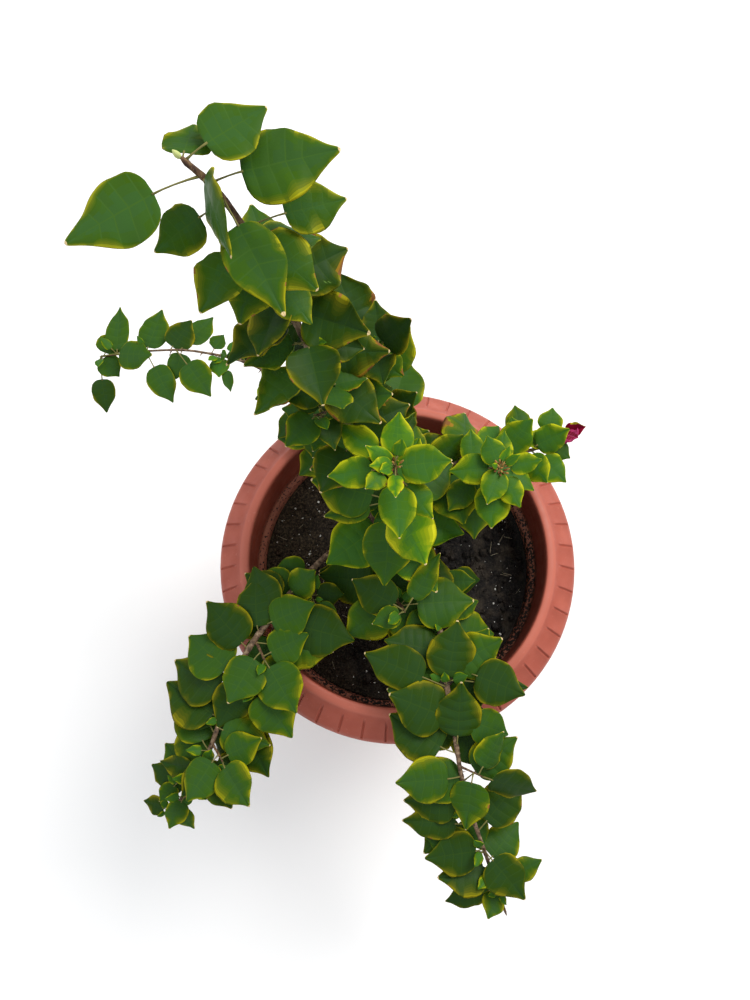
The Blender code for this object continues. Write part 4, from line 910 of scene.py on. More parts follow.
def vein_rows(halved=False):
    """Shares of the length where rows of faces meet the midrib, in pairs round each vein."""
    rows = [0.0, 0.012, 0.05]
    for k in range(VEIN_PAIRS):
        vein = VEIN_FIRST + VEIN_STEP * k
        rows += [vein - VEIN_WIDTH / 2, vein + VEIN_WIDTH / 2, vein + VEIN_STEP / 2]
    rows = rows[:-1] + [0.69, 0.76, 0.82, 0.88, 0.93, 0.97, 1.0]
    if halved:
        rows += [(a + b) / 2 for a, b in zip(rows, rows[1:]) if b - a > 0.025]
    return tuple(sorted(rows))


def mirrored(half):
    return [-v for v in reversed(half)] + list(half)


def swept(u, v):
    """A row's share of the length at a share across, as the rows sweep forward like veins."""
    return u + VEIN_SWEEP * abs(v) * 1.6 * u * (1 - u)


class LeafForm:
    """A leaf laid flat: places (row, column, which side) and faces, its top side first."""

    def __init__(self, rows, columns, under):
        last = len(rows) - 1
        gaps = np.diff(rows)
        places = [(0.0, 0.0, 0), (1.0, 0.0, 0)]
        puff = [0.0, 0.0]
        index = {}
        for side, half in enumerate((columns, under)):
            for i in range(1, last):
                beside_vein = min(gaps[i - 1], gaps[i]) < VEIN_WIDTH * 1.01
                for column in mirrored(half):
                    if side and abs(column) == 1.0:
                        index[side, i, column] = index[0, i, column]
                        continue
                    index[side, i, column] = len(places)
                    places.append((rows[i], column, side))
                    puff.append(0.0 if beside_vein else 1.0)
        self.faces = []
        bands = []
        for side, half in enumerate((columns, under)):
            across = mirrored(half)
            for a, b in zip(across, across[1:]):
                for i in range(last):
                    if i == 0:
                        face = (0, index[side, 1, a], index[side, 1, b])
                    elif i == last - 1:
                        face = (index[side, i, a], 1, index[side, i, b])
                    else:
                        face = (index[side, i, a], index[side, i + 1, a],
                                index[side, i + 1, b], index[side, i, b])
                    self.faces.append(face[::-1] if side else face)
                    bands.append(i)
            if side == 0:
                self.top_count = len(self.faces)
        places = np.array(places, float)
        self.row, self.column, self.under = places.T
        self.puff = np.array(puff)
        bands = np.array(bands[:self.top_count])
        centres = np.array([places[list(face)].mean(axis=0) for face in self.faces])
        self.face_row, self.face_column = centres[:self.top_count, :2].T
        self.vein = (gaps[bands] < VEIN_WIDTH * 1.01) | (abs(self.face_column) < columns[0])


Habit = namedtuple("Habit", "fold bow arch curl wave quilt shoulder")
Look = namedtuple("Look", "kind margin dry burnt")


def smooth(x, low, high):
    t = np.clip((x - low) / (high - low), 0.0, 1.0)
    return t * t * (3 - 2 * t)


def half_width(u, shoulder):
    """Half a leaf's width over its full width: round at the foot, drawn in past its shoulder."""
    u = np.clip(u, 0.0, 1.0)
    taper = 1 - (0.40 + 0.45 * shoulder) * smooth(u, shoulder, 1.0)
    return 0.54 * np.sqrt(np.sin(np.pi * u ** 0.66).clip(0.0)) * taper


def random_wave(rng):
    """A smooth random wave from -1 to 1, along shares of a leaf's length."""
    phases = [rng.random() for rate, size in WAVE_PARTS]

    def wave(x):
        return sum(size * np.sin(2 * np.pi * (rate * x + phase))
                   for phase, (rate, size) in zip(phases, WAVE_PARTS))
    return wave


class Margin:
    """How wide and how bright a leaf's yellow margin is along both of its sides."""

    def __init__(self, look, rng):
        self.look = look
        self.waves = [random_wave(rng) for _ in range(2)]
        self.ripples = [random_wave(rng) for _ in range(2)]

    def wave(self, u, side):
        return np.where(side > 0, self.waves[0](u), self.waves[1](u))

    def ripple(self, u, side):
        return np.where(side > 0, self.ripples[0](3 * u), self.ripples[1](3 * u))

    def width(self, u, side):
        width = self.look.margin * (1.05 + 1.5 * smooth(u, 0.10, 0.75))
        width = width * (1 + 0.9 * self.wave(u, side)) * (1 + 0.30 * self.ripple(u, side))
        tip = 0.94 * smooth(u, 0.96 - 0.9 * self.look.margin, 1.0)
        return np.clip(np.maximum(width, tip), 0.07, 0.94)

    def across(self, u, column):
        """A column's place across half a blade, from the midrib at 0 to the edge at 1."""
        width = self.width(u, column)
        green = np.abs(column) / GREEN * (1 - width)
        yellow = 1 - width * (1 - np.abs(column)) / (1 - GREEN)
        return np.sign(column) * np.where(np.abs(column) < GREEN, green, yellow)


def blade_places(form, leaf, habit, margin, rng):
    """A leaf's corners in space: folded, bowed, arched, waved, and puffed between its veins."""
    v = margin.across(form.row, form.column)
    u = swept(form.row, v)
    side_way = unit(np.cross(leaf.face, leaf.aim))
    half = np.maximum(half_width(u, habit.shoulder) * leaf.width, 0.0004)
    edge = np.abs(v)
    waves = [random_wave(rng) for _ in range(2)]
    wave = np.where(v > 0, waves[0](u), waves[1](u))
    height = habit.fold * edge * half - habit.bow * edge ** 2 * half
    height += habit.curl * smooth(edge, 0.45, 1.0) * half * (0.6 + 0.6 * wave)
    height += habit.wave * wave * edge ** 2 * half - habit.arch * u ** 2 * leaf.length
    height += habit.quilt * form.puff * np.sin(np.pi * edge ** 0.7) * leaf.length
    height -= form.under * BLADE_THICKNESS
    inward = 1 - 0.25 * habit.curl * smooth(edge, 0.6, 1.0)
    return (leaf.base + np.outer(u * leaf.length, leaf.aim)
            + np.outer(v * half * inward * (1 + 0.04 * wave), side_way)
            + np.outer(height, leaf.face))


def blade_colours(form, look, margin, rng):
    """A colour's name for each face of a leaf, worked out from where it is on the blade."""
    u = form.face_row
    column = np.abs(form.face_column)
    wave = margin.wave(u, form.face_column)
    ripple = margin.ripple(u, form.face_column)
    cloud = random_wave(rng)(u + 0.5 * form.face_column)
    strength = np.clip(0.85 + 0.50 * wave + 0.30 * ripple + 0.25 * cloud, 0.25, 1.0)
    strength = np.maximum(strength, smooth(u, 0.80, 0.95))
    green = 2.7 * column / GREEN + 1.1 * cloud
    yellow = 3.0 + (LEVELS - 3) * strength * (column - GREEN) / (1 - GREEN)
    level = np.where(column < GREEN, green, yellow).clip(0, LEVELS - 1).astype(int)
    scorch = look.burnt * smooth(wave, 0.1, 0.8) * smooth(u, 0.10, 0.35)
    dry = look.dry * smooth(ripple, 0.2, 0.9)
    outward = (column - GREEN) / (1 - GREEN)
    names = []
    for k in range(form.top_count):
        if look.dry > DRY_POINT and u[k] > 0.975 - 0.03 * look.dry and column[k] < 0.95:
            names.append("dry_tip")
        elif outward[k] > 1.05 - 0.55 * scorch[k]:
            names.append("burnt")
        elif outward[k] > 0.95 - 0.55 * scorch[k] and scorch[k] > 0.1:
            names.append("scorched")
        elif outward[k] > 1.08 - 0.45 * dry[k]:
            names.append("dry_edge")
        elif form.vein[k] and level[k] < LEVELS - 5:
            names.append(look.kind + "_vein")
        else:
            names.append(f"{look.kind}_{level[k]}")
    return names + ["under"] * (len(form.faces) - form.top_count)


BIG_LEAF = LeafForm(vein_rows(halved=True), FULL_COLUMNS, FULL_UNDER)
FULL_LEAF = LeafForm(vein_rows(), FULL_COLUMNS, FULL_UNDER)
SMALL_LEAF = LeafForm(SMALL_ROWS, SMALL_COLUMNS, SMALL_UNDER)


class Heap:
    """Faces gathered from many small shapes, each face with the name of its colour."""

    def __init__(self):
        self.verts = []
        self.faces = []
        self.names = []

    def add(self, verts, faces, names):
        base = len(self.verts)
        self.verts += [tuple(v) for v in verts]
        self.faces += [tuple(base + k for k in face) for face in faces]
        self.names += names if isinstance(names, list) else [names] * len(faces)

    def piece(self, name, paints):
        used = sorted(set(self.names))
        number = {key: k for k, key in enumerate(used)}
        return make_piece(name, self.verts, self.faces, [paints[key] for key in used],
                          [number[key] for key in self.names])


def tube(points, radii, sides):
    """A closed tube through some points."""
    points = np.array(points)
    verts = []
    faces = []
    for k, (point, radius) in enumerate(zip(points, radii)):
        ahead = unit(points[min(k + 1, len(points) - 1)] - points[max(k - 1, 0)])
        side, over = stem_frame(ahead)
        for j in range(sides):
            a = -2 * math.pi * j / sides
            verts.append(point + (side * math.cos(a) + over * math.sin(a)) * radius)
    for k in range(len(points) - 1):
        for j in range(sides):
            here = k * sides + j
            beside = k * sides + (j + 1) % sides
            faces.append((here, here + sides, beside + sides, beside))
    faces.append(tuple(range(sides)))
    faces.append(tuple(reversed(range(len(verts) - sides, len(verts)))))
    return verts, faces


STALK_SIDES = 5
STALK_RADII = (0.0013, 0.0008, 0.00065, 0.0007, 0.0009)


def stalk(leaf, scale):
    """A leaf's stalk, swollen where it leaves the stem, bending into the blade."""
    end = leaf.base + leaf.aim * 0.0015
    bend = leaf.base - leaf.aim * np.linalg.norm(leaf.base - leaf.foot) * 0.35
    points = []
    for k in range(len(STALK_RADII)):
        t = k / (len(STALK_RADII) - 1)
        points.append((1 - t) ** 2 * leaf.foot + 2 * t * (1 - t) * bend + t * t * end)
    return tube(points, [r * scale for r in STALK_RADII], STALK_SIDES)


# ---- how each mass's leaves look and lie -------------------------------------------
# kinds with their weights; the yellow margin's share; how dry the edges are; the chance
# that a leaf is burnt; and how far the leaves fold, curl and puff up between the veins.
LOOKS = {
    "tall_low": dict(kinds=(("dark", 5), ("mid", 3)), margin=(0.10, 0.28), dry=0.35, burnt=0.35,
                     fold=0.25, curl=0.25, quilt=0.006),
    "tall_middle": dict(kinds=(("old", 2), ("dark", 4), ("mid", 2)), margin=(0.12, 0.34),
                        dry=0.60, burnt=0.7, fold=0.3, curl=0.35, quilt=0.006),
    "tall_top": dict(kinds=(("old", 5), ("mid", 2)), margin=(0.10, 0.28), dry=0.4, burnt=0.0,
                     fold=0.12, curl=0.05, quilt=0.004, shoulder=0.48),
    "middle_low": dict(kinds=(("dark", 4), ("mid", 3)), margin=(0.10, 0.26), dry=0.3, burnt=0.3,
                       fold=0.25, curl=0.2, quilt=0.006),
    "middle_top": dict(kinds=(("mid", 4), ("dark", 3)), margin=(0.10, 0.26), dry=0.3, burnt=0.3,
                       fold=0.22, curl=0.2, quilt=0.006),
    "left_low": dict(kinds=(("dark", 3), ("mid", 3)), margin=(0.08, 0.22), dry=0.4, burnt=0.2,
                     fold=0.25, curl=0.15, quilt=0.006),
    "left_middle": dict(kinds=(("mid", 4), ("fresh", 2)), margin=(0.06, 0.18), dry=0.3,
                        burnt=0.1, fold=0.15, curl=0.1, quilt=0.006),
    "left_tip": dict(kinds=(("mid", 5), ("dark", 2)), margin=(0.05, 0.16), dry=0.25, burnt=0.0,
                     fold=0.15, curl=0.08, quilt=0.007),
    "centre_low": dict(kinds=(("mid", 4), ("fresh", 2)), margin=(0.08, 0.24), dry=0.3,
                       burnt=0.15, fold=0.15, curl=0.12, quilt=0.006),
    "centre_rosette": dict(kinds=(("lime", 4), ("fresh", 5)), margin=(0.20, 0.44), dry=0.35,
                           burnt=0.05, fold=0.10, curl=0.10, quilt=0.005),
    "right_rosette": dict(kinds=(("fresh", 5), ("mid", 3)), margin=(0.14, 0.34), dry=0.2,
                          burnt=0.08, fold=0.10, curl=0.06, quilt=0.005, shoulder=0.62),
    "right_tip": dict(kinds=(("fresh", 4), ("mid", 4)), margin=(0.12, 0.30), dry=0.2,
                      burnt=0.05, fold=0.15, curl=0.08, quilt=0.005),
    "front_left_top": dict(kinds=(("mid", 5), ("dark", 3)), margin=(0.08, 0.26), dry=0.25,
                           burnt=0.0, fold=0.12, curl=0.06, quilt=0.009),
    "front_left_middle": dict(kinds=(("dark", 5), ("mid", 3)), margin=(0.12, 0.34), dry=0.35,
                              burnt=0.0, fold=0.12, curl=0.06, quilt=0.009),
    "front_left_tip": dict(kinds=(("dark", 4), ("mid", 3)), margin=(0.14, 0.36), dry=0.4,
                           burnt=0.0, fold=0.15, curl=0.06, quilt=0.009),
    "front_right_top": dict(kinds=(("mid", 4), ("dark", 3)), margin=(0.06, 0.22), dry=0.2,
                            burnt=0.0, fold=0.12, curl=0.06, quilt=0.009),
    "front_right_middle": dict(kinds=(("mid", 5), ("dark", 3)), margin=(0.06, 0.22), dry=0.25,
                               burnt=0.0, fold=0.10, curl=0.05, quilt=0.010),
    "front_right_low": dict(kinds=(("mid", 4), ("dark", 4)), margin=(0.10, 0.28), dry=0.35,
                            burnt=0.0, fold=0.10, curl=0.05, quilt=0.010),
    "front_right_tip": dict(kinds=(("dark", 5), ("mid", 3)), margin=(0.12, 0.30), dry=0.4,
                            burnt=0.0, fold=0.12, curl=0.06, quilt=0.009),
    "front_leaves": dict(kinds=(("mid", 4), ("dark", 3)), margin=(0.08, 0.26), dry=0.3,
                         burnt=0.15, fold=0.15, curl=0.12, quilt=0.007),
}
BIG = 0.052                 # a leaf longer than this has rows of faces twice as fine
YOUNG = 0.021               # a leaf shorter than this is a young one, paler than the rest


def dealt(rng, kinds):
    """One of the kinds, as often as its weight says."""
    at = rng.uniform(0, sum(weight for kind, weight in kinds))
    for kind, weight in kinds:
        at -= weight
        if at <= 0:
            return kind
    return kinds[-1][0]


def leaf_look(rng, looks, length):
    kind = dealt(rng, looks["kinds"])
    if length < YOUNG:
        kind = "lime" if kind in ("lime", "fresh") else "fresh"
    burnt = rng.uniform(0.3, 1.0) if rng.random() < looks["burnt"] else 0.0
    return Look(kind, rng.uniform(*looks["margin"]), looks["dry"] * rng.uniform(0.3, 1.3), burnt)


def leaf_habit(rng, looks, burnt):
    return Habit(fold=looks["fold"] * rng.uniform(0.3, 1.5), bow=rng.uniform(0.10, 0.30),
                 arch=rng.uniform(-0.02, 0.12), curl=(looks["curl"] + 0.5 * burnt) * rng.random(),
                 wave=rng.uniform(0.05, 0.16), quilt=looks["quilt"] * rng.uniform(0.9, 2.2),
                 shoulder=looks.get("shoulder", 0.56) + rng.uniform(-0.07, 0.07))


def add_leaf(heap, leaf, looks, rng):
    look = leaf_look(rng, looks, leaf.length)
    habit = leaf_habit(rng, looks, look.burnt)
    form = BIG_LEAF if leaf.length > BIG else FULL_LEAF if leaf.length > YOUNG else SMALL_LEAF
    margin = Margin(look, rng)
    heap.add(blade_places(form, leaf, habit, margin, rng), form.faces,
             blade_colours(form, look, margin, rng))
    if np.linalg.norm(leaf.base - leaf.foot) > 0.0005:
        heap.add(*stalk(leaf, min(1.0, 0.45 + leaf.length / 0.07)), "stalk")


# ---- finer growth: axil leaves, hearts, buds and thorns ----------------------------
AXIL_CHANCE = 0.45          # how many leaves have a young leaf in their axil
AXIL_SIZE = (0.009, 0.020)
HEART_SIZE = (0.022, 0.009)     # leaf lengths in a rosette's heart, from outside in
THORN_SIZE = (0.004, 0.009)
THORN_STEP = (0.022, 0.040)
THORNY = ("left", "right", "front_left", "front_right", "tall", "middle")


def solids_tree():
    """A search tree over the faces of every solid of the frame but the soil."""
    verts = []
    faces = []
    for name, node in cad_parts.items():
        if name != "soil":
            base = len(verts)
            verts += [v.co.copy() for v in node.data.vertices]
            faces += [tuple(base + k for k in face.vertices) for face in node.data.polygons]
    return BVHTree.FromPolygons(verts, faces)


def flat_blade(leaf):
    """A small leaf's outline as a tree of two triangles a side, to test its room."""
    across = unit(np.cross(leaf.face, leaf.aim)) * leaf.width * 0.45
    start = leaf.base + leaf.aim * leaf.length * 0.05
    middle = leaf.base + leaf.aim * leaf.length * 0.45
    tip = leaf.base + leaf.aim * leaf.length
    corners = [Vector(p) for p in (start, middle + across, tip, middle - across)]
    return BVHTree.FromPolygons(corners, [(0, 1, 2), (0, 2, 3)])


def axil_leaves(sprig, room, rng):
    """Young leaves that stand up from some of a sprig's leaf axils, wherever there is room."""
    young = []
    for leaf in sprig.leaves:
        if leaf.length < YOUNG or rng.random() > AXIL_CHANCE:
            continue
        bearing = math.degrees(math.atan2(leaf.aim[1], leaf.aim[0]))
        for side in rng.sample((-1, 1), 2)[:rng.randint(1, 2)]:
            length = rng.uniform(*AXIL_SIZE)
            small = leaf_by_compass(leaf.foot, bearing + side * rng.uniform(35, 80),
                                    rng.uniform(15, 50), rng.uniform(-20, 20), length,
                                    rng.uniform(0.5, 0.7), length * rng.uniform(0.3, 0.5))
            if not flat_blade(small).overlap(room):
                young.append(small)
    return young


def heart_leaves(tip, count, rng):
    """The smallest leaves in the heart of a rosette, the inner ones almost upright."""
    leaves = []
    for k in range(count):
        t = k / (count - 1)
        length = blend(HEART_SIZE, t) * rng.uniform(0.85, 1.15)
        leaves.append(leaf_by_compass(tip, GOLDEN * k + 200 + rng.uniform(-15, 15),
                                      35 + 40 * t, 0, length, 0.6, 0.003))
    return leaves


def limb_radius(route_name, share):
    """A limb's radius at a share of its route, over its bough and its masses' stems."""
    if route_name in BOUGHS:
        root, tip, bare = BOUGHS[route_name]
        if share <= bare:
            return blend((root, tip), share / bare)
    for mass in MASSES.values():
        low, high = mass["span"]
        if mass["route"] == route_name and share <= high:
            return blend(mass["radius"], (share - low) / (high - low))
    return 0.0015


def thorn_points(rng):
    """Where thorns stand on the limbs: their foot, their way and their length."""
    found = []
    for name in THORNY:
        route = Route(ROUTES[name])
        s = route.length * 0.12
        while s < route.length * 0.96:
            heading = route.heading(s)
            side, over = stem_frame(heading)
            a = rng.uniform(0, 2 * math.pi)
            out = side * math.cos(a) + over * math.sin(a)
            radius = limb_radius(name, s / route.length)
            found.append((route.at(s) + out * radius * 0.7, unit(out + 0.35 * heading),
                          rng.uniform(*THORN_SIZE)))
            s += rng.uniform(*THORN_STEP)
    return found


# ---- Geometry Nodes recipes --------------------------------------------------------
class Recipe:
    """A Geometry Nodes tree with named inputs, put together a node at a time."""

    def __init__(self, name, **inputs):
        self.tree = bpy.data.node_groups.new(name, "GeometryNodeTree")
        face = self.tree.interface
        face.new_socket("Geometry", in_out="INPUT", socket_type="NodeSocketGeometry")
        face.new_socket("Geometry", in_out="OUTPUT", socket_type="NodeSocketGeometry")
        for key, kind in inputs.items():
            face.new_socket(key, in_out="INPUT", socket_type="NodeSocket" + kind)
        self.given = self.tree.nodes.new("NodeGroupInput").outputs
        self.result = self.tree.nodes.new("NodeGroupOutput")

    def node(self, kind, inputs=None, **settings):
        return add_node(self.tree, kind, inputs, settings)

    def out(self, kind, inputs=None, **settings):
        return self.node(kind, inputs, **settings).outputs[0]

    def read(self, attribute, kind):
        return self.out("GeometryNodeInputNamedAttribute", {"Name": attribute}, data_type=kind)

    def roughened(self, geometry, grain, depth):
        """The geometry pushed in and out along its normals by fine noise."""
        grains = self.node("ShaderNodeTexNoise", {"Scale": grain, "Detail": 2.0}).outputs[0]
        centred = self.out("ShaderNodeMath", {0: grains, 1: 0.5}, operation="SUBTRACT")
        push = self.out("ShaderNodeMath", {0: centred, 1: depth}, operation="MULTIPLY")
        normal = self.out("GeometryNodeInputNormal")
        offset = self.out("ShaderNodeVectorMath", {0: normal, "Scale": push}, operation="SCALE")
        return self.out("GeometryNodeSetPosition", {"Geometry": geometry, "Offset": offset})

    def end(self, geometry, paint, smooth_shade):
        solid = self.out("GeometryNodeRealizeInstances", {"Geometry": geometry})
        shaded = self.out("GeometryNodeSetShadeSmooth", {"Geometry": solid,
                                                         "Shade Smooth": smooth_shade})
        painted = self.out("GeometryNodeSetMaterial", {"Geometry": shaded, "Material": paint})
        self.tree.links.new(painted, self.result.inputs[0])

    def make(self, source, name, **values):
        """Run the recipe on a source mesh object and return the plain mesh it makes."""
        modifier = source.modifiers.new(name, "NODES")
        modifier.node_group = self.tree
        for item in self.tree.interface.items_tree:
            if item.in_out == "INPUT" and item.name in values:
                modifier[item.identifier] = values[item.name]
        depsgraph = bpy.context.evaluated_depsgraph_get()
        mesh = bpy.data.meshes.new_from_object(source.evaluated_get(depsgraph))
        source.modifiers.remove(modifier)
        mesh.name = name
        piece = bpy.data.objects.new(name, mesh)
        bpy.context.scene.collection.objects.link(piece)
        return piece


def limb_recipe():
    """Round limbs along lines, as thick as their points' girth, with a bark's relief."""
    recipe = Recipe("limb", Sides="Int", Relief="Float", Grain="Float", Bark="Material")
    girth = recipe.read("girth", "FLOAT")
    line = recipe.out("GeometryNodeMeshToCurve", {"Mesh": recipe.given["Geometry"]})
    ring = recipe.out("GeometryNodeCurvePrimitiveCircle", {"Resolution": recipe.given["Sides"],
                                                           "Radius": 1.0})
    limb = recipe.out("GeometryNodeCurveToMesh", {"Curve": line, "Profile Curve": ring,
                                                  "Scale": girth, "Fill Caps": True})
    depth = recipe.out("ShaderNodeMath", {0: girth, 1: recipe.given["Relief"]},
                       operation="MULTIPLY")
    rough = recipe.roughened(limb, recipe.given["Grain"], depth)
    recipe.end(rough, recipe.given["Bark"], True)
    return recipe


def spike_recipe():
    """A tapering spike at each point, along its aim and as long as its reach."""
    recipe = Recipe("spikes", Width="Float", Tip="Float", Paint="Material")
    spike = recipe.out("GeometryNodeMeshCone", {
        "Vertices": 6, "Side Segments": 3, "Radius Top": recipe.given["Tip"],
        "Radius Bottom": recipe.given["Width"], "Depth": 1.0})
    turn = recipe.out("FunctionNodeAlignRotationToVector", {"Vector": recipe.read(
        "aim", "FLOAT_VECTOR")}, axis="Z")
    stood = recipe.out("GeometryNodeInstanceOnPoints", {
        "Points": recipe.given["Geometry"], "Instance": spike, "Rotation": turn,
        "Scale": recipe.read("reach", "FLOAT")})
    recipe.end(stood, recipe.given["Paint"], True)
    return recipe


def crumb_recipe():
    """Crumbs strewn over a surface, each turned and sized at random."""
    recipe = Recipe("crumbs", Density="Float", Smallest="Float", Largest="Float", Fineness="Int",
                    Seed="Int", Paint="Material")
    strewn = recipe.out("GeometryNodeDistributePointsOnFaces", {
        "Mesh": recipe.given["Geometry"], "Density": recipe.given["Density"],
        "Seed": recipe.given["Seed"]})
    lump = recipe.out("GeometryNodeMeshIcoSphere", {"Radius": 1.0,
                                                    "Subdivisions": recipe.given["Fineness"]})
    dice = recipe.out("FunctionNodeRandomValue", {
        "Min": (0.55, 0.7, 0.45), "Max": (1.0, 1.25, 0.85), "Seed": recipe.given["Seed"]},
        data_type="FLOAT_VECTOR")
    size = recipe.node("FunctionNodeRandomValue", {
        2: 0.0, 3: 1.0, "Seed": recipe.given["Seed"]}, data_type="FLOAT")
    small = recipe.out("ShaderNodeMath", {0: size.outputs[1], 1: 2.6}, operation="POWER")
    size = recipe.out("ShaderNodeMapRange", {"Value": small, "To Min": recipe.given["Smallest"],
                                             "To Max": recipe.given["Largest"]})
    scale = recipe.out("ShaderNodeVectorMath", {0: dice, "Scale": size}, operation="SCALE")
    turn = recipe.out("FunctionNodeRandomValue", {
        "Min": (0.0, 0.0, 0.0), "Max": (6.3, 6.3, 6.3), "Seed": recipe.given["Seed"]},
        data_type="FLOAT_VECTOR")
    lumps = recipe.out("GeometryNodeInstanceOnPoints", {
        "Points": strewn, "Instance": lump, "Rotation": turn, "Scale": scale})
    solid = recipe.out("GeometryNodeRealizeInstances", {"Geometry": lumps})
    rough = recipe.roughened(solid, 480.0, recipe.out(
        "ShaderNodeMath", {0: recipe.given["Largest"], 1: 0.55}, operation="MULTIPLY"))
    recipe.end(rough, recipe.given["Paint"], False)
    return recipe


def top_source(piece, height, radius):
    """A piece's faces above a height and within a radius, for the crumb recipe."""
    mesh = bmesh.new()
    mesh.from_mesh(piece.data)
    centres = [(face, face.calc_center_median()) for face in mesh.faces]
    bmesh.ops.delete(mesh, context="FACES", geom=[
        face for face, centre in centres if centre.z < height or centre.xy.length > radius])
    top = bpy.data.meshes.new("top")
    mesh.to_mesh(top)
    mesh.free()
    return staged(top)


def line_source(lines):
    """A mesh of lines (points and radii) for the limb recipe."""
    verts = []
    edges = []
    girths = []
    for points, radii in lines:
        base = len(verts)
        verts += [tuple(p) for p in points]
        girths += [float(r) for r in radii]
        edges += [(base + k, base + k + 1) for k in range(len(points) - 1)]
    mesh = bpy.data.meshes.new("lines")
    mesh.from_pydata(verts, edges, [])
    mesh.attributes.new("girth", "FLOAT", "POINT").data.foreach_set("value", girths)
    return staged(mesh)


def point_source(points):
    """A mesh of points (place, aim and reach) for the spike recipe."""
    mesh = bpy.data.meshes.new("points")
    mesh.from_pydata([tuple(place) for place, aim, reach in points], [], [])
    aims = np.array([aim for place, aim, reach in points]).ravel()
    mesh.attributes.new("aim", "FLOAT_VECTOR", "POINT").data.foreach_set("vector", aims)
    reaches = [reach for place, aim, reach in points]
    mesh.attributes.new("reach", "FLOAT", "POINT").data.foreach_set("value", reaches)
    return staged(mesh)


def staged(mesh):
    source = bpy.data.objects.new(mesh.name, mesh)
    bpy.context.scene.collection.objects.link(source)
    return source


def discard(source):
    bpy.data.objects.remove(source, do_unlink=True)


# ---- trunk and limbs ---------------------------------------------------------------
LIMB_SIDES = 12
RING_SPACING = 0.0025
KNUCKLE = 0.16              # how much a stem swells where a leaf leaves it
KNUCKLE_REACH = 0.0020
TWIG_RADIUS = 0.6           # a twig's radius beside the thin end of its stem
TRUNK_SIDES = 45
TRUNK_HEIGHTS = 34


def limb_line(route, low, high, name, feet):
    """Points and radii along a limb between two shares of its route."""
    start, end = low * route.length, high * route.length
    count = max(3, round((end - start) / RING_SPACING))
    points = []
    radii = []
    for k in range(count + 1):
        s = start + (end - start) * k / count
        place = route.at(s)
        radius = limb_radius(name, s / route.length)
        nearest = min((np.linalg.norm(place - foot) for foot in feet), default=1.0)
        points.append(place)
        radii.append(radius * (1 + KNUCKLE * math.exp(-(nearest / KNUCKLE_REACH) ** 2)))
    for k, share in ((-1, 0.35), (-2, 0.75)):
        radii[k] *= share if high == 1.0 else 1.0
    return np.array(points), radii


# Past this share of its route each limb has the darker bark of young growth.
YOUNG_FROM = {"tall": 0.72, "middle": 0.8, "centre": 0.7, "right": 0.75, "left": 0.85,
              "front_left": 0.9, "front_right": 0.92, "front": 0.6, "rosette": 0.0}


def limb_lines(sprigs):
    """Every limb's line, its woody part and its young part apart, and every twig's."""
    woody = []
    young = []
    for name, points in ROUTES.items():
        route = Route(points)
        feet = [leaf.foot for sprig in sprigs if sprig.route == name for leaf in sprig.leaves]
        turn = YOUNG_FROM[name]
        if turn > 0:
            woody.append(limb_line(route, 0.0, turn, name, feet))
        young.append(limb_line(route, turn, 1.0, name, feet))
    for sprig in sprigs:
        radius = MASSES[sprig.name]["radius"][1] * TWIG_RADIUS
        for foot, tip in sprig.twigs:
            shares = np.linspace(0.0, 1.0, 6)
            young.append((np.array([foot + (tip - foot) * t for t in shares]),
                          [radius * (1.1 - 0.5 * t) for t in shares]))
    return woody, young


def dress_trunk(paint):
    """The trunk, from its lobed root flare to its fork, with ridges that run up it."""
    shares, radii, lobes = zip(*TRUNK_RINGS)
    foot = np.array(TRUNK_FOOT)
    top = np.array(TRUNK_TOP)
    verts = []
    faces = []
    for j in range(TRUNK_HEIGHTS):
        t = j / (TRUNK_HEIGHTS - 1)
        centre = foot + (top - foot) * t
        radius = float(np.interp(t, shares, radii))
        lobe = float(np.interp(t, shares, lobes))
        for k in range(TRUNK_SIDES):
            a = 2 * math.pi * k / TRUNK_SIDES
            grain = noise.fractal(Vector((9 * math.cos(a), 9 * math.sin(a), 4 * t)), 0.6, 2.0, 4)
            r = radius * (1 + lobe * math.cos(FLARE_LOBES * a + 0.6) + 0.05 * grain)
            verts.append((centre[0] + r * math.cos(a), centre[1] + r * math.sin(a), centre[2]))
    for j in range(TRUNK_HEIGHTS - 1):
        for k in range(TRUNK_SIDES):
            here = j * TRUNK_SIDES + k
            beside = j * TRUNK_SIDES + (k + 1) % TRUNK_SIDES
            faces.append((here, beside, beside + TRUNK_SIDES, here + TRUNK_SIDES))
    faces.append(tuple(reversed(range(TRUNK_SIDES))))
    faces.append(tuple(range(len(verts) - TRUNK_SIDES, len(verts))))
    trunk = make_piece("trunk_wood", verts, faces, [paint])
    settle(trunk, "bark", "trunk")


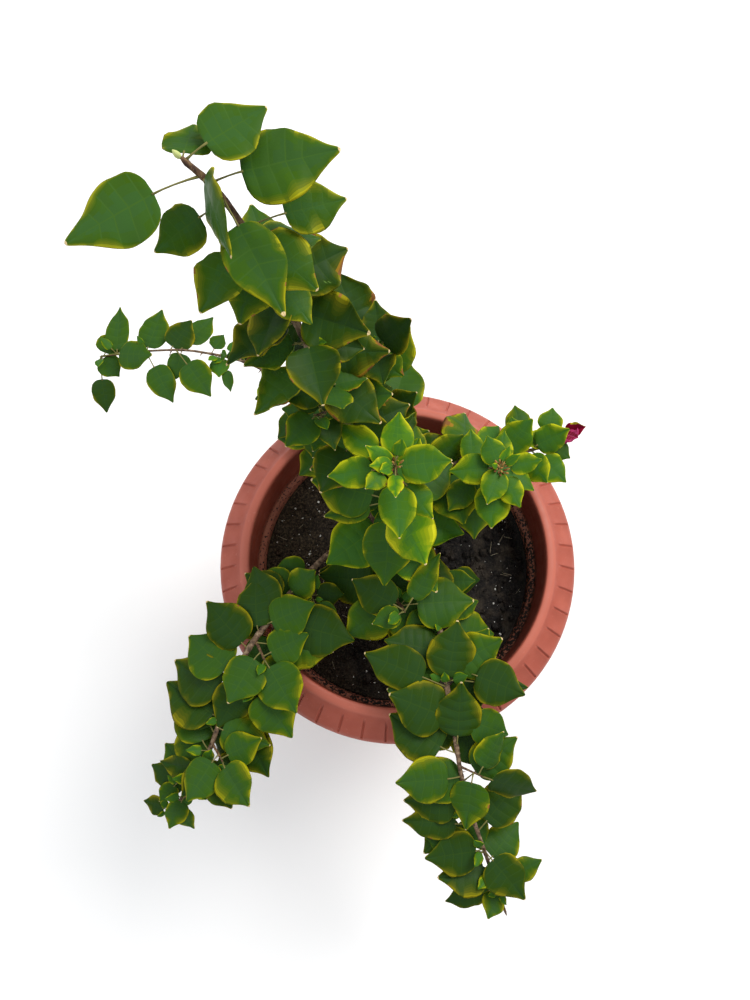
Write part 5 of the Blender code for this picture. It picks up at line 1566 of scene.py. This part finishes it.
# ---- pot and soil ------------------------------------------------------------------
def pot_profile():
    """From the middle of the floor up the inside, over the rim and down the outside."""
    roll = MOUTH_RADIUS + 0.0048
    under = LIP_TOP - 0.0038
    return [
        (0.0, FLOOR, 0.0),
        (BASE_RADIUS, FLOOR, 0.0040),
        (BODY_TOP_RADIUS, BODY_TOP, 0.0015),
        (MOUTH_RADIUS - 0.0004, COLLAR_FOOT - 0.003, 0.0015),
        (MOUTH_RADIUS, RIM_TOP, 0.0048),
        (roll + 0.0040, RIM_TOP - 0.0006, 0.0030),
        (SLOPE_START, RIM_TOP - 0.0052, 0.0030),
        (LIP_RADIUS - 0.0028, LIP_TOP + 0.0018, 0.0025),
        (LIP_RADIUS, LIP_TOP - 0.0030, 0.0020),
        (LIP_RADIUS, LIP_TOP - LIP_SKIRT, 0.0008),
        (LIP_RADIUS - 0.0035, LIP_TOP - LIP_SKIRT, 0.0008),
        (LIP_RADIUS - 0.0035, under, 0.0020),
        (MOUTH_RADIUS + WALL + 0.0040, RIM_TOP - 0.0070, 0.0030),
        (MOUTH_RADIUS + WALL, RIM_TOP - 0.0120, 0.0030),
        (MOUTH_RADIUS + WALL, COLLAR_FOOT - 0.006, 0.0020),
        (BODY_TOP_RADIUS + WALL + 0.0006, COLLAR_FOOT - 0.010, 0.0020),
        (BASE_RADIUS + WALL + 0.0006, 0.0, 0.0030),
        (0.0, 0.0, 0.0),
    ]


CORNER_STEPS = 5
LONGEST_RUN = 0.0045        # the longest straight run between two rings near the rim


def rounded(corners):
    """A profile whose corners (radius, height, rounding) are turned into arcs."""
    points = [np.array(corners[0][:2])]
    for before, corner, after in zip(corners, corners[1:], corners[2:]):
        p = np.array(corner[:2])
        back = np.array(before[:2]) - p
        on = np.array(after[:2]) - p
        reach = min(corner[2], 0.45 * np.linalg.norm(back), 0.45 * np.linalg.norm(on))
        first = p + unit(back) * reach
        last = p + unit(on) * reach
        for k in range(CORNER_STEPS):
            t = k / (CORNER_STEPS - 1)
            points.append((1 - t) ** 2 * first + 2 * t * (1 - t) * p + t * t * last)
    points.append(np.array(corners[-1][:2]))
    fine = [points[0]]
    for a, b in zip(points, points[1:]):
        steps = max(1, math.ceil(np.linalg.norm(b - a) / LONGEST_RUN)) if b[1] > 0.25 else 1
        fine += [a + (b - a) * (k + 1) / steps for k in range(steps)]
    return fine


def turned_mesh(name, profile, angles, shape, paint):
    """A profile turned through some angles, each of its points then moved by shape."""
    rings = profile[1:-1]
    count = len(angles)
    verts = [(0.0, 0.0, float(profile[0][1])), (0.0, 0.0, float(profile[-1][1]))]
    for radius, height in rings:
        verts += [shape(radius, height, a) for a in angles]
    faces = []
    for k in range(count):
        beside = (k + 1) % count
        faces.append((0, 2 + k, 2 + beside))
        for j in range(len(rings) - 1):
            low = 2 + j * count
            faces.append((low + k, low + count + k, low + count + beside, low + beside))
        last = 2 + (len(rings) - 1) * count
        faces.append((1, last + beside, last + k))
    return make_piece(name, verts, faces, [paint])


def dress_pot():
    """The moulded pot, with a ring of short grooves pressed into its sloping rim."""
    pitch = 2 * math.pi / GROOVES
    half = GROOVE_HALF_WIDTH / GROOVE_MIDDLE
    start = math.radians(GROOVE_TURN)
    angles = []
    for k in range(GROOVES):
        angles += [start + k * pitch + half * step for step in GROOVE_STEPS]
        angles.append(start + (k + 0.5) * pitch)

    def shape(radius, height, angle):
        off = abs((angle - start + pitch / 2) % pitch - pitch / 2) / half
        along = float(smooth(radius, GROOVE_FROM, GROOVE_FROM + 0.0015)
                      * (1 - smooth(radius, GROOVE_TO - 0.0012, GROOVE_TO)))
        if height > LIP_TOP and radius > GROOVE_FROM:
            height -= GROOVE_DEPTH * along * float(1 - smooth(off, 0.55, 1.0))
            height += GROOVE_RIDGE * along * max(0.0, 1 - abs(off - 1.3) / 0.4)
        return radius * math.cos(angle), radius * math.sin(angle), height

    pot = turned_mesh("flower_pot", rounded(pot_profile()), angles, shape, pot_paint())
    settle(pot, "pot_plastic", "pot")


SOIL_RINGS = 84
SOIL_TURNS = 240
SOIL_RELIEF = 0.0036
SOIL_FALL = 0.003           # how far the top falls on its way to the wall
EDGE_DROP = 0.004           # how far its edge lies below its middle
EDGE_HOLLOW = 0.010         # how far the soil has sunk along the wall, on the right
CRUMBS_BELOW = 0.020        # crumbs lie down to this far under the soil's edge,
CRUMBS_INSIDE = 0.005       # and this far inside it
STRAW_BITS = 40
STRAW_REACH = 0.148         # how far from the middle the straw lies


def soil_profile(edge, edge_height):
    """From the middle of its top out to the wall, then down to the middle of its underside."""
    profile = [(0.0, FLOOR + GAP), (BASE_RADIUS - 0.0050, FLOOR + GAP),
               (BASE_RADIUS - 0.0010, FLOOR + 0.0060), (edge, edge_height)]
    for k in range(SOIL_RINGS):
        share = 1 - (k + 1) / SOIL_RINGS
        profile.append((edge * share, SOIL_TOP - SOIL_FALL * share ** 6))
    profile[-1] = (0.0, SOIL_TOP)
    return list(reversed(profile))


def crumbly(x, y, radius, height):
    """The height of the soil's top at a place: lumps, coarse crumbs, and its sunken edge."""
    place = Vector((x, y, 0.0))
    lumps = noise.fractal(place * 34, 0.7, 2.0, 3) + 0.9 * noise.noise(place * 150)
    crumbs = (0.9 - 1.2 * noise.voronoi(place * 48)[0][0]
              - 0.3 * noise.voronoi(place * 110)[0][0])
    crumbs *= float(smooth(x, -0.05, 0.04)) * float(1 - smooth(radius, 0.135, 0.150))
    height += SOIL_RELIEF * (0.5 * lumps + 1.3 * crumbs - 0.3)
    hollow = 0.6 + 0.9 * noise.noise(place * 45)
    return height - EDGE_HOLLOW * hollow * float(smooth(x, -0.06, 0.08)
                                                 * smooth(radius, 0.128, 0.150))


def strewn_crumbs(soil, edge, edge_height):
    """The clods and the perlite that lie on the soil, clear of the pot's wall."""
    crumbs = crumb_recipe()
    top = top_source(soil, edge_height - CRUMBS_BELOW, edge - CRUMBS_INSIDE)
    clods = crumbs.make(top, "soil_clods", Density=16000.0, Smallest=0.0006, Largest=0.0070,
                        Fineness=2, Seed=3, Paint=soil.data.materials[0])
    perlite = crumbs.make(top, "perlite", Density=6500.0, Smallest=0.0004, Largest=0.0018,
                          Fineness=1, Seed=8, Paint=speck_paint("perlite", PERLITE, 0.85))
    discard(top)
    return clods, perlite


def strewn_straw():
    """Bits of straw that lie about on the soil."""
    rng = random.Random(5)
    bits = []
    for _ in range(STRAW_BITS):
        r = STRAW_REACH * math.sqrt(rng.random())
        a = rng.uniform(0, 6.3)
        b = rng.uniform(0, 6.3)
        aim = unit(np.array((math.cos(b), math.sin(b), rng.uniform(-0.1, 0.3))))
        bits.append((np.array((r * math.cos(a), r * math.sin(a), SOIL_TOP + 0.002)), aim,
                     rng.uniform(0.004, 0.015)))
    source = point_source(bits)
    straw = spike_recipe().make(source, "straw", Width=0.030, Tip=0.02,
                                Paint=speck_paint("straw", STRAW, 0.8))
    discard(source)
    return straw


def dress_soil():
    """The filling: crumbly and uneven on top, with clods, perlite and bits of straw."""
    edge_height = SOIL_TOP - EDGE_DROP
    edge = BODY_TOP_RADIUS - WALL_TAPER * (BODY_TOP - edge_height) - GAP * 2

    def shape(radius, height, angle):
        x = radius * math.cos(angle)
        y = radius * math.sin(angle)
        if height > edge_height + 0.0002:
            height = crumbly(x, y, radius, height)
        return x, y, height

    angles = [2 * math.pi * k / SOIL_TURNS for k in range(SOIL_TURNS)]
    soil = turned_mesh("soil_filling", soil_profile(edge, edge_height), angles, shape,
                       soil_paint())
    clods, perlite = strewn_crumbs(soil, edge, edge_height)
    straw = strewn_straw()
    settle(soil, "potting_soil", "soil")
    for piece in (clods, perlite, straw):
        settle(piece, "potting_soil")


# ---- foliage and flower ------------------------------------------------------------
# Rosettes with a heart: the limb that carries it, its small leaves and its buds.
HEARTS = {"centre_rosette": ("centre", 2, 10), "right_rosette": ("rosette", 0, 20),
          "middle_top": ("middle", 4, 8)}
BUD_SHAPE = ((0.0, 0.45), (0.15, 0.80), (0.40, 1.0), (0.65, 0.85), (0.85, 0.5), (1.0, 0.12))


def add_bud(heap, foot, aim, length, width, name):
    points = [foot + aim * length * share for share, swell in BUD_SHAPE]
    heap.add(*tube(points, [width / 2 * swell for share, swell in BUD_SHAPE], 7), name)


def add_heart(heap, name, rng):
    """A rosette's heart: its smallest leaves, and the brown buds between them."""
    limb, leaf_count, bud_count = HEARTS[name]
    shoot = Route(ROUTES[limb])
    tip = shoot.at(shoot.length)
    looks = dict(LOOKS[name], kinds=(("lime", 1),), burnt=0.0, dry=0.1)
    if leaf_count:
        for leaf in heart_leaves(tip, leaf_count, rng):
            add_leaf(heap, leaf, looks, rng)
    for k in range(bud_count):
        a = math.radians(GOLDEN * k)
        r = 0.0014 * math.sqrt(k)
        foot = tip + np.array((r * math.cos(a), r * math.sin(a), -0.001))
        aim = unit(np.array((math.cos(a) * 0.7, math.sin(a) * 0.7, 1.0)))
        add_bud(heap, foot, aim, rng.uniform(0.003, 0.007), 0.0022, rng.choice(("bud", "tan_bud")))


def dress_leaves(sprigs):
    """Each limb's leaves, joined in one piece that stands for that limb's masses."""
    paints = leaf_paints()
    room = solids_tree()
    for limb in dict.fromkeys(sprig.route for sprig in sprigs):
        heap = Heap()
        masses = [sprig for sprig in sprigs if sprig.route == limb]
        for sprig in masses:
            rng = random.Random(MASSES[sprig.name]["seed"])
            young = [] if sprig.name == "tall_top" else axil_leaves(sprig, room, rng)
            for leaf in sprig.leaves + young:
                add_leaf(heap, leaf, LOOKS[sprig.name], rng)
            if sprig.name in HEARTS:
                add_heart(heap, sprig.name, rng)
        if limb == "tall":
            cane = Route(ROUTES["tall"])
            add_bud(heap, cane.at(cane.length) - UP * 0.001, cane.heading(cane.length), 0.007,
                    0.0045, "tip_bud")
        piece = heap.piece(limb + "_limb_leaves", paints)
        settle(piece, "foliage", *[sprig.name for sprig in masses])


# How far each bract is folded, how wide it is spread, and whether one of its edges is green.
BRACT_SHAPES = ((1.0, 1.0, True), (0.45, 1.25, False))


def bract_colours(green_edged):
    """A colour's name for each face of a bract: dark and green-edged, or pale with veins."""
    names = []
    for k, (u, column) in enumerate(zip(FULL_LEAF.face_row, FULL_LEAF.face_column)):
        if green_edged:
            names.append("bract_edge" if column > 0.6 and u > 0.3 else "bract_0")
        elif FULL_LEAF.vein[k]:
            names.append("bract_2")
        else:
            names.append("bract_1" if abs(column) > 0.3 else "bract_0")
    return names + ["bract_0"] * (len(FULL_LEAF.faces) - FULL_LEAF.top_count)


def dress_bracts(flowers):
    """The papery bracts: one folded up and green-edged on one side, the next spread wide."""
    heap = Heap()
    rng = random.Random(2)
    for leaf, (fold, spread, green_edged) in zip(flowers, BRACT_SHAPES):
        habit = Habit(fold=fold * rng.uniform(0.9, 1.1), bow=0.5, arch=-0.10, curl=0.30,
                      wave=0.25, quilt=0.014, shoulder=0.60)
        leaf = leaf._replace(width=leaf.width * spread)
        margin = Margin(Look("bract", 0.2, 0.0, 0.0), rng)
        heap.add(blade_places(FULL_LEAF, leaf, habit, margin, rng), FULL_LEAF.faces,
                 bract_colours(green_edged))
    settle(heap.piece("bracts", bract_paints()), "bract")


def dress_limbs(sprigs):
    """Trunk, limbs, twigs and thorns in bark."""
    woody, young = limb_lines(sprigs)
    old_bark = bark_paint("old_bark", OLD_BARK, 260.0)
    young_bark = bark_paint("young_bark", YOUNG_BARK, 340.0)
    dress_trunk(old_bark)
    recipe = limb_recipe()
    for name, lines, bark, relief in (("woody_limbs", woody, old_bark, 0.42),
                                      ("young_stems", young, young_bark, 0.22)):
        source = line_source(lines)
        limbs = recipe.make(source, name, Sides=LIMB_SIDES, Relief=relief, Grain=620.0, Bark=bark)
        discard(source)
        if name == "woody_limbs":
            settle(limbs, "bark", *[bough + "_bough" for bough in BOUGHS])
        else:
            settle(limbs, "bark")
    source = point_source(thorn_points(random.Random(11)))
    thorns = spike_recipe().make(source, "thorns", Width=0.13, Tip=0.012, Paint=young_bark)
    discard(source)
    settle(thorns, "bark")


# ---- camera, floor and light -------------------------------------------------------
EYE = (-0.0219, -0.1530, 1.1436)
LOOK_BELOW_LEVEL = 75.12    # degrees
ROLL = -2.47
LENS_SHARE = 0.751          # focal length over the sensor's long side
SENSOR = 36.0


def add_camera():
    data = bpy.data.cameras.new("camera")
    data.sensor_width = SENSOR
    data.lens = LENS_SHARE * SENSOR
    data.clip_start = 0.05
    camera = bpy.data.objects.new("camera", data)
    camera.matrix_world = (Matrix.Translation(EYE)
                           @ Matrix.Rotation(math.radians(90 - LOOK_BELOW_LEVEL), 4, "X")
                           @ Matrix.Rotation(math.radians(ROLL), 4, "Z"))
    bpy.context.scene.collection.objects.link(camera)
    bpy.context.scene.camera = camera


def add_area(name, place, target, size, energy, colour):
    data = bpy.data.lights.new(name, "AREA")
    data.shape = "DISK"
    data.size = size
    data.energy = energy
    data.color = colour
    light = bpy.data.objects.new(name, data)
    light.location = place
    light.rotation_mode = "QUATERNION"
    light.rotation_quaternion = (Vector(target) - Vector(place)).to_track_quat("-Z", "Y")
    bpy.context.scene.collection.objects.link(light)


def add_stage():
    """A plain pale floor, an overcast sky, and a broad soft light from behind and right."""
    mesh = bpy.data.meshes.new("floor")
    reach = 6.0
    mesh.from_pydata([(-reach, -reach, 0), (reach, -reach, 0), (reach, reach, 0),
                      (-reach, reach, 0)], [], [(0, 1, 2, 3)])
    floor = bpy.data.objects.new("floor", mesh)
    bpy.context.scene.collection.objects.link(floor)
    paint = Paint("floor", 0.9, 0.0)
    paint.colour((0.93, 0.93, 0.93))
    mesh.materials.append(paint.material)
    world = bpy.data.worlds.new("sky")
    world.use_nodes = True
    sky = world.node_tree.nodes["Background"]
    sky.inputs["Color"].default_value = (0.96, 0.98, 1.0, 1.0)
    sky.inputs["Strength"].default_value = 0.80
    bpy.context.scene.world = world
    add_area("key", (1.3, 1.1, 2.2), (0.0, 0.0, 0.3), 1.7, 66.0, (1.0, 0.98, 0.94))
    add_area("fill", (-1.6, 0.2, 1.8), (0.0, 0.0, 0.3), 1.4, 8.0, (0.97, 0.98, 1.0))
    bpy.context.scene.view_settings.view_transform = "Standard"


def dress():
    sprigs, flowers = grow_sprigs()
    dress_leaves(sprigs)
    dress_bracts(flowers)
    dress_limbs(sprigs)
    dress_pot()
    dress_soil()
    add_stage()
    add_camera()


dress()
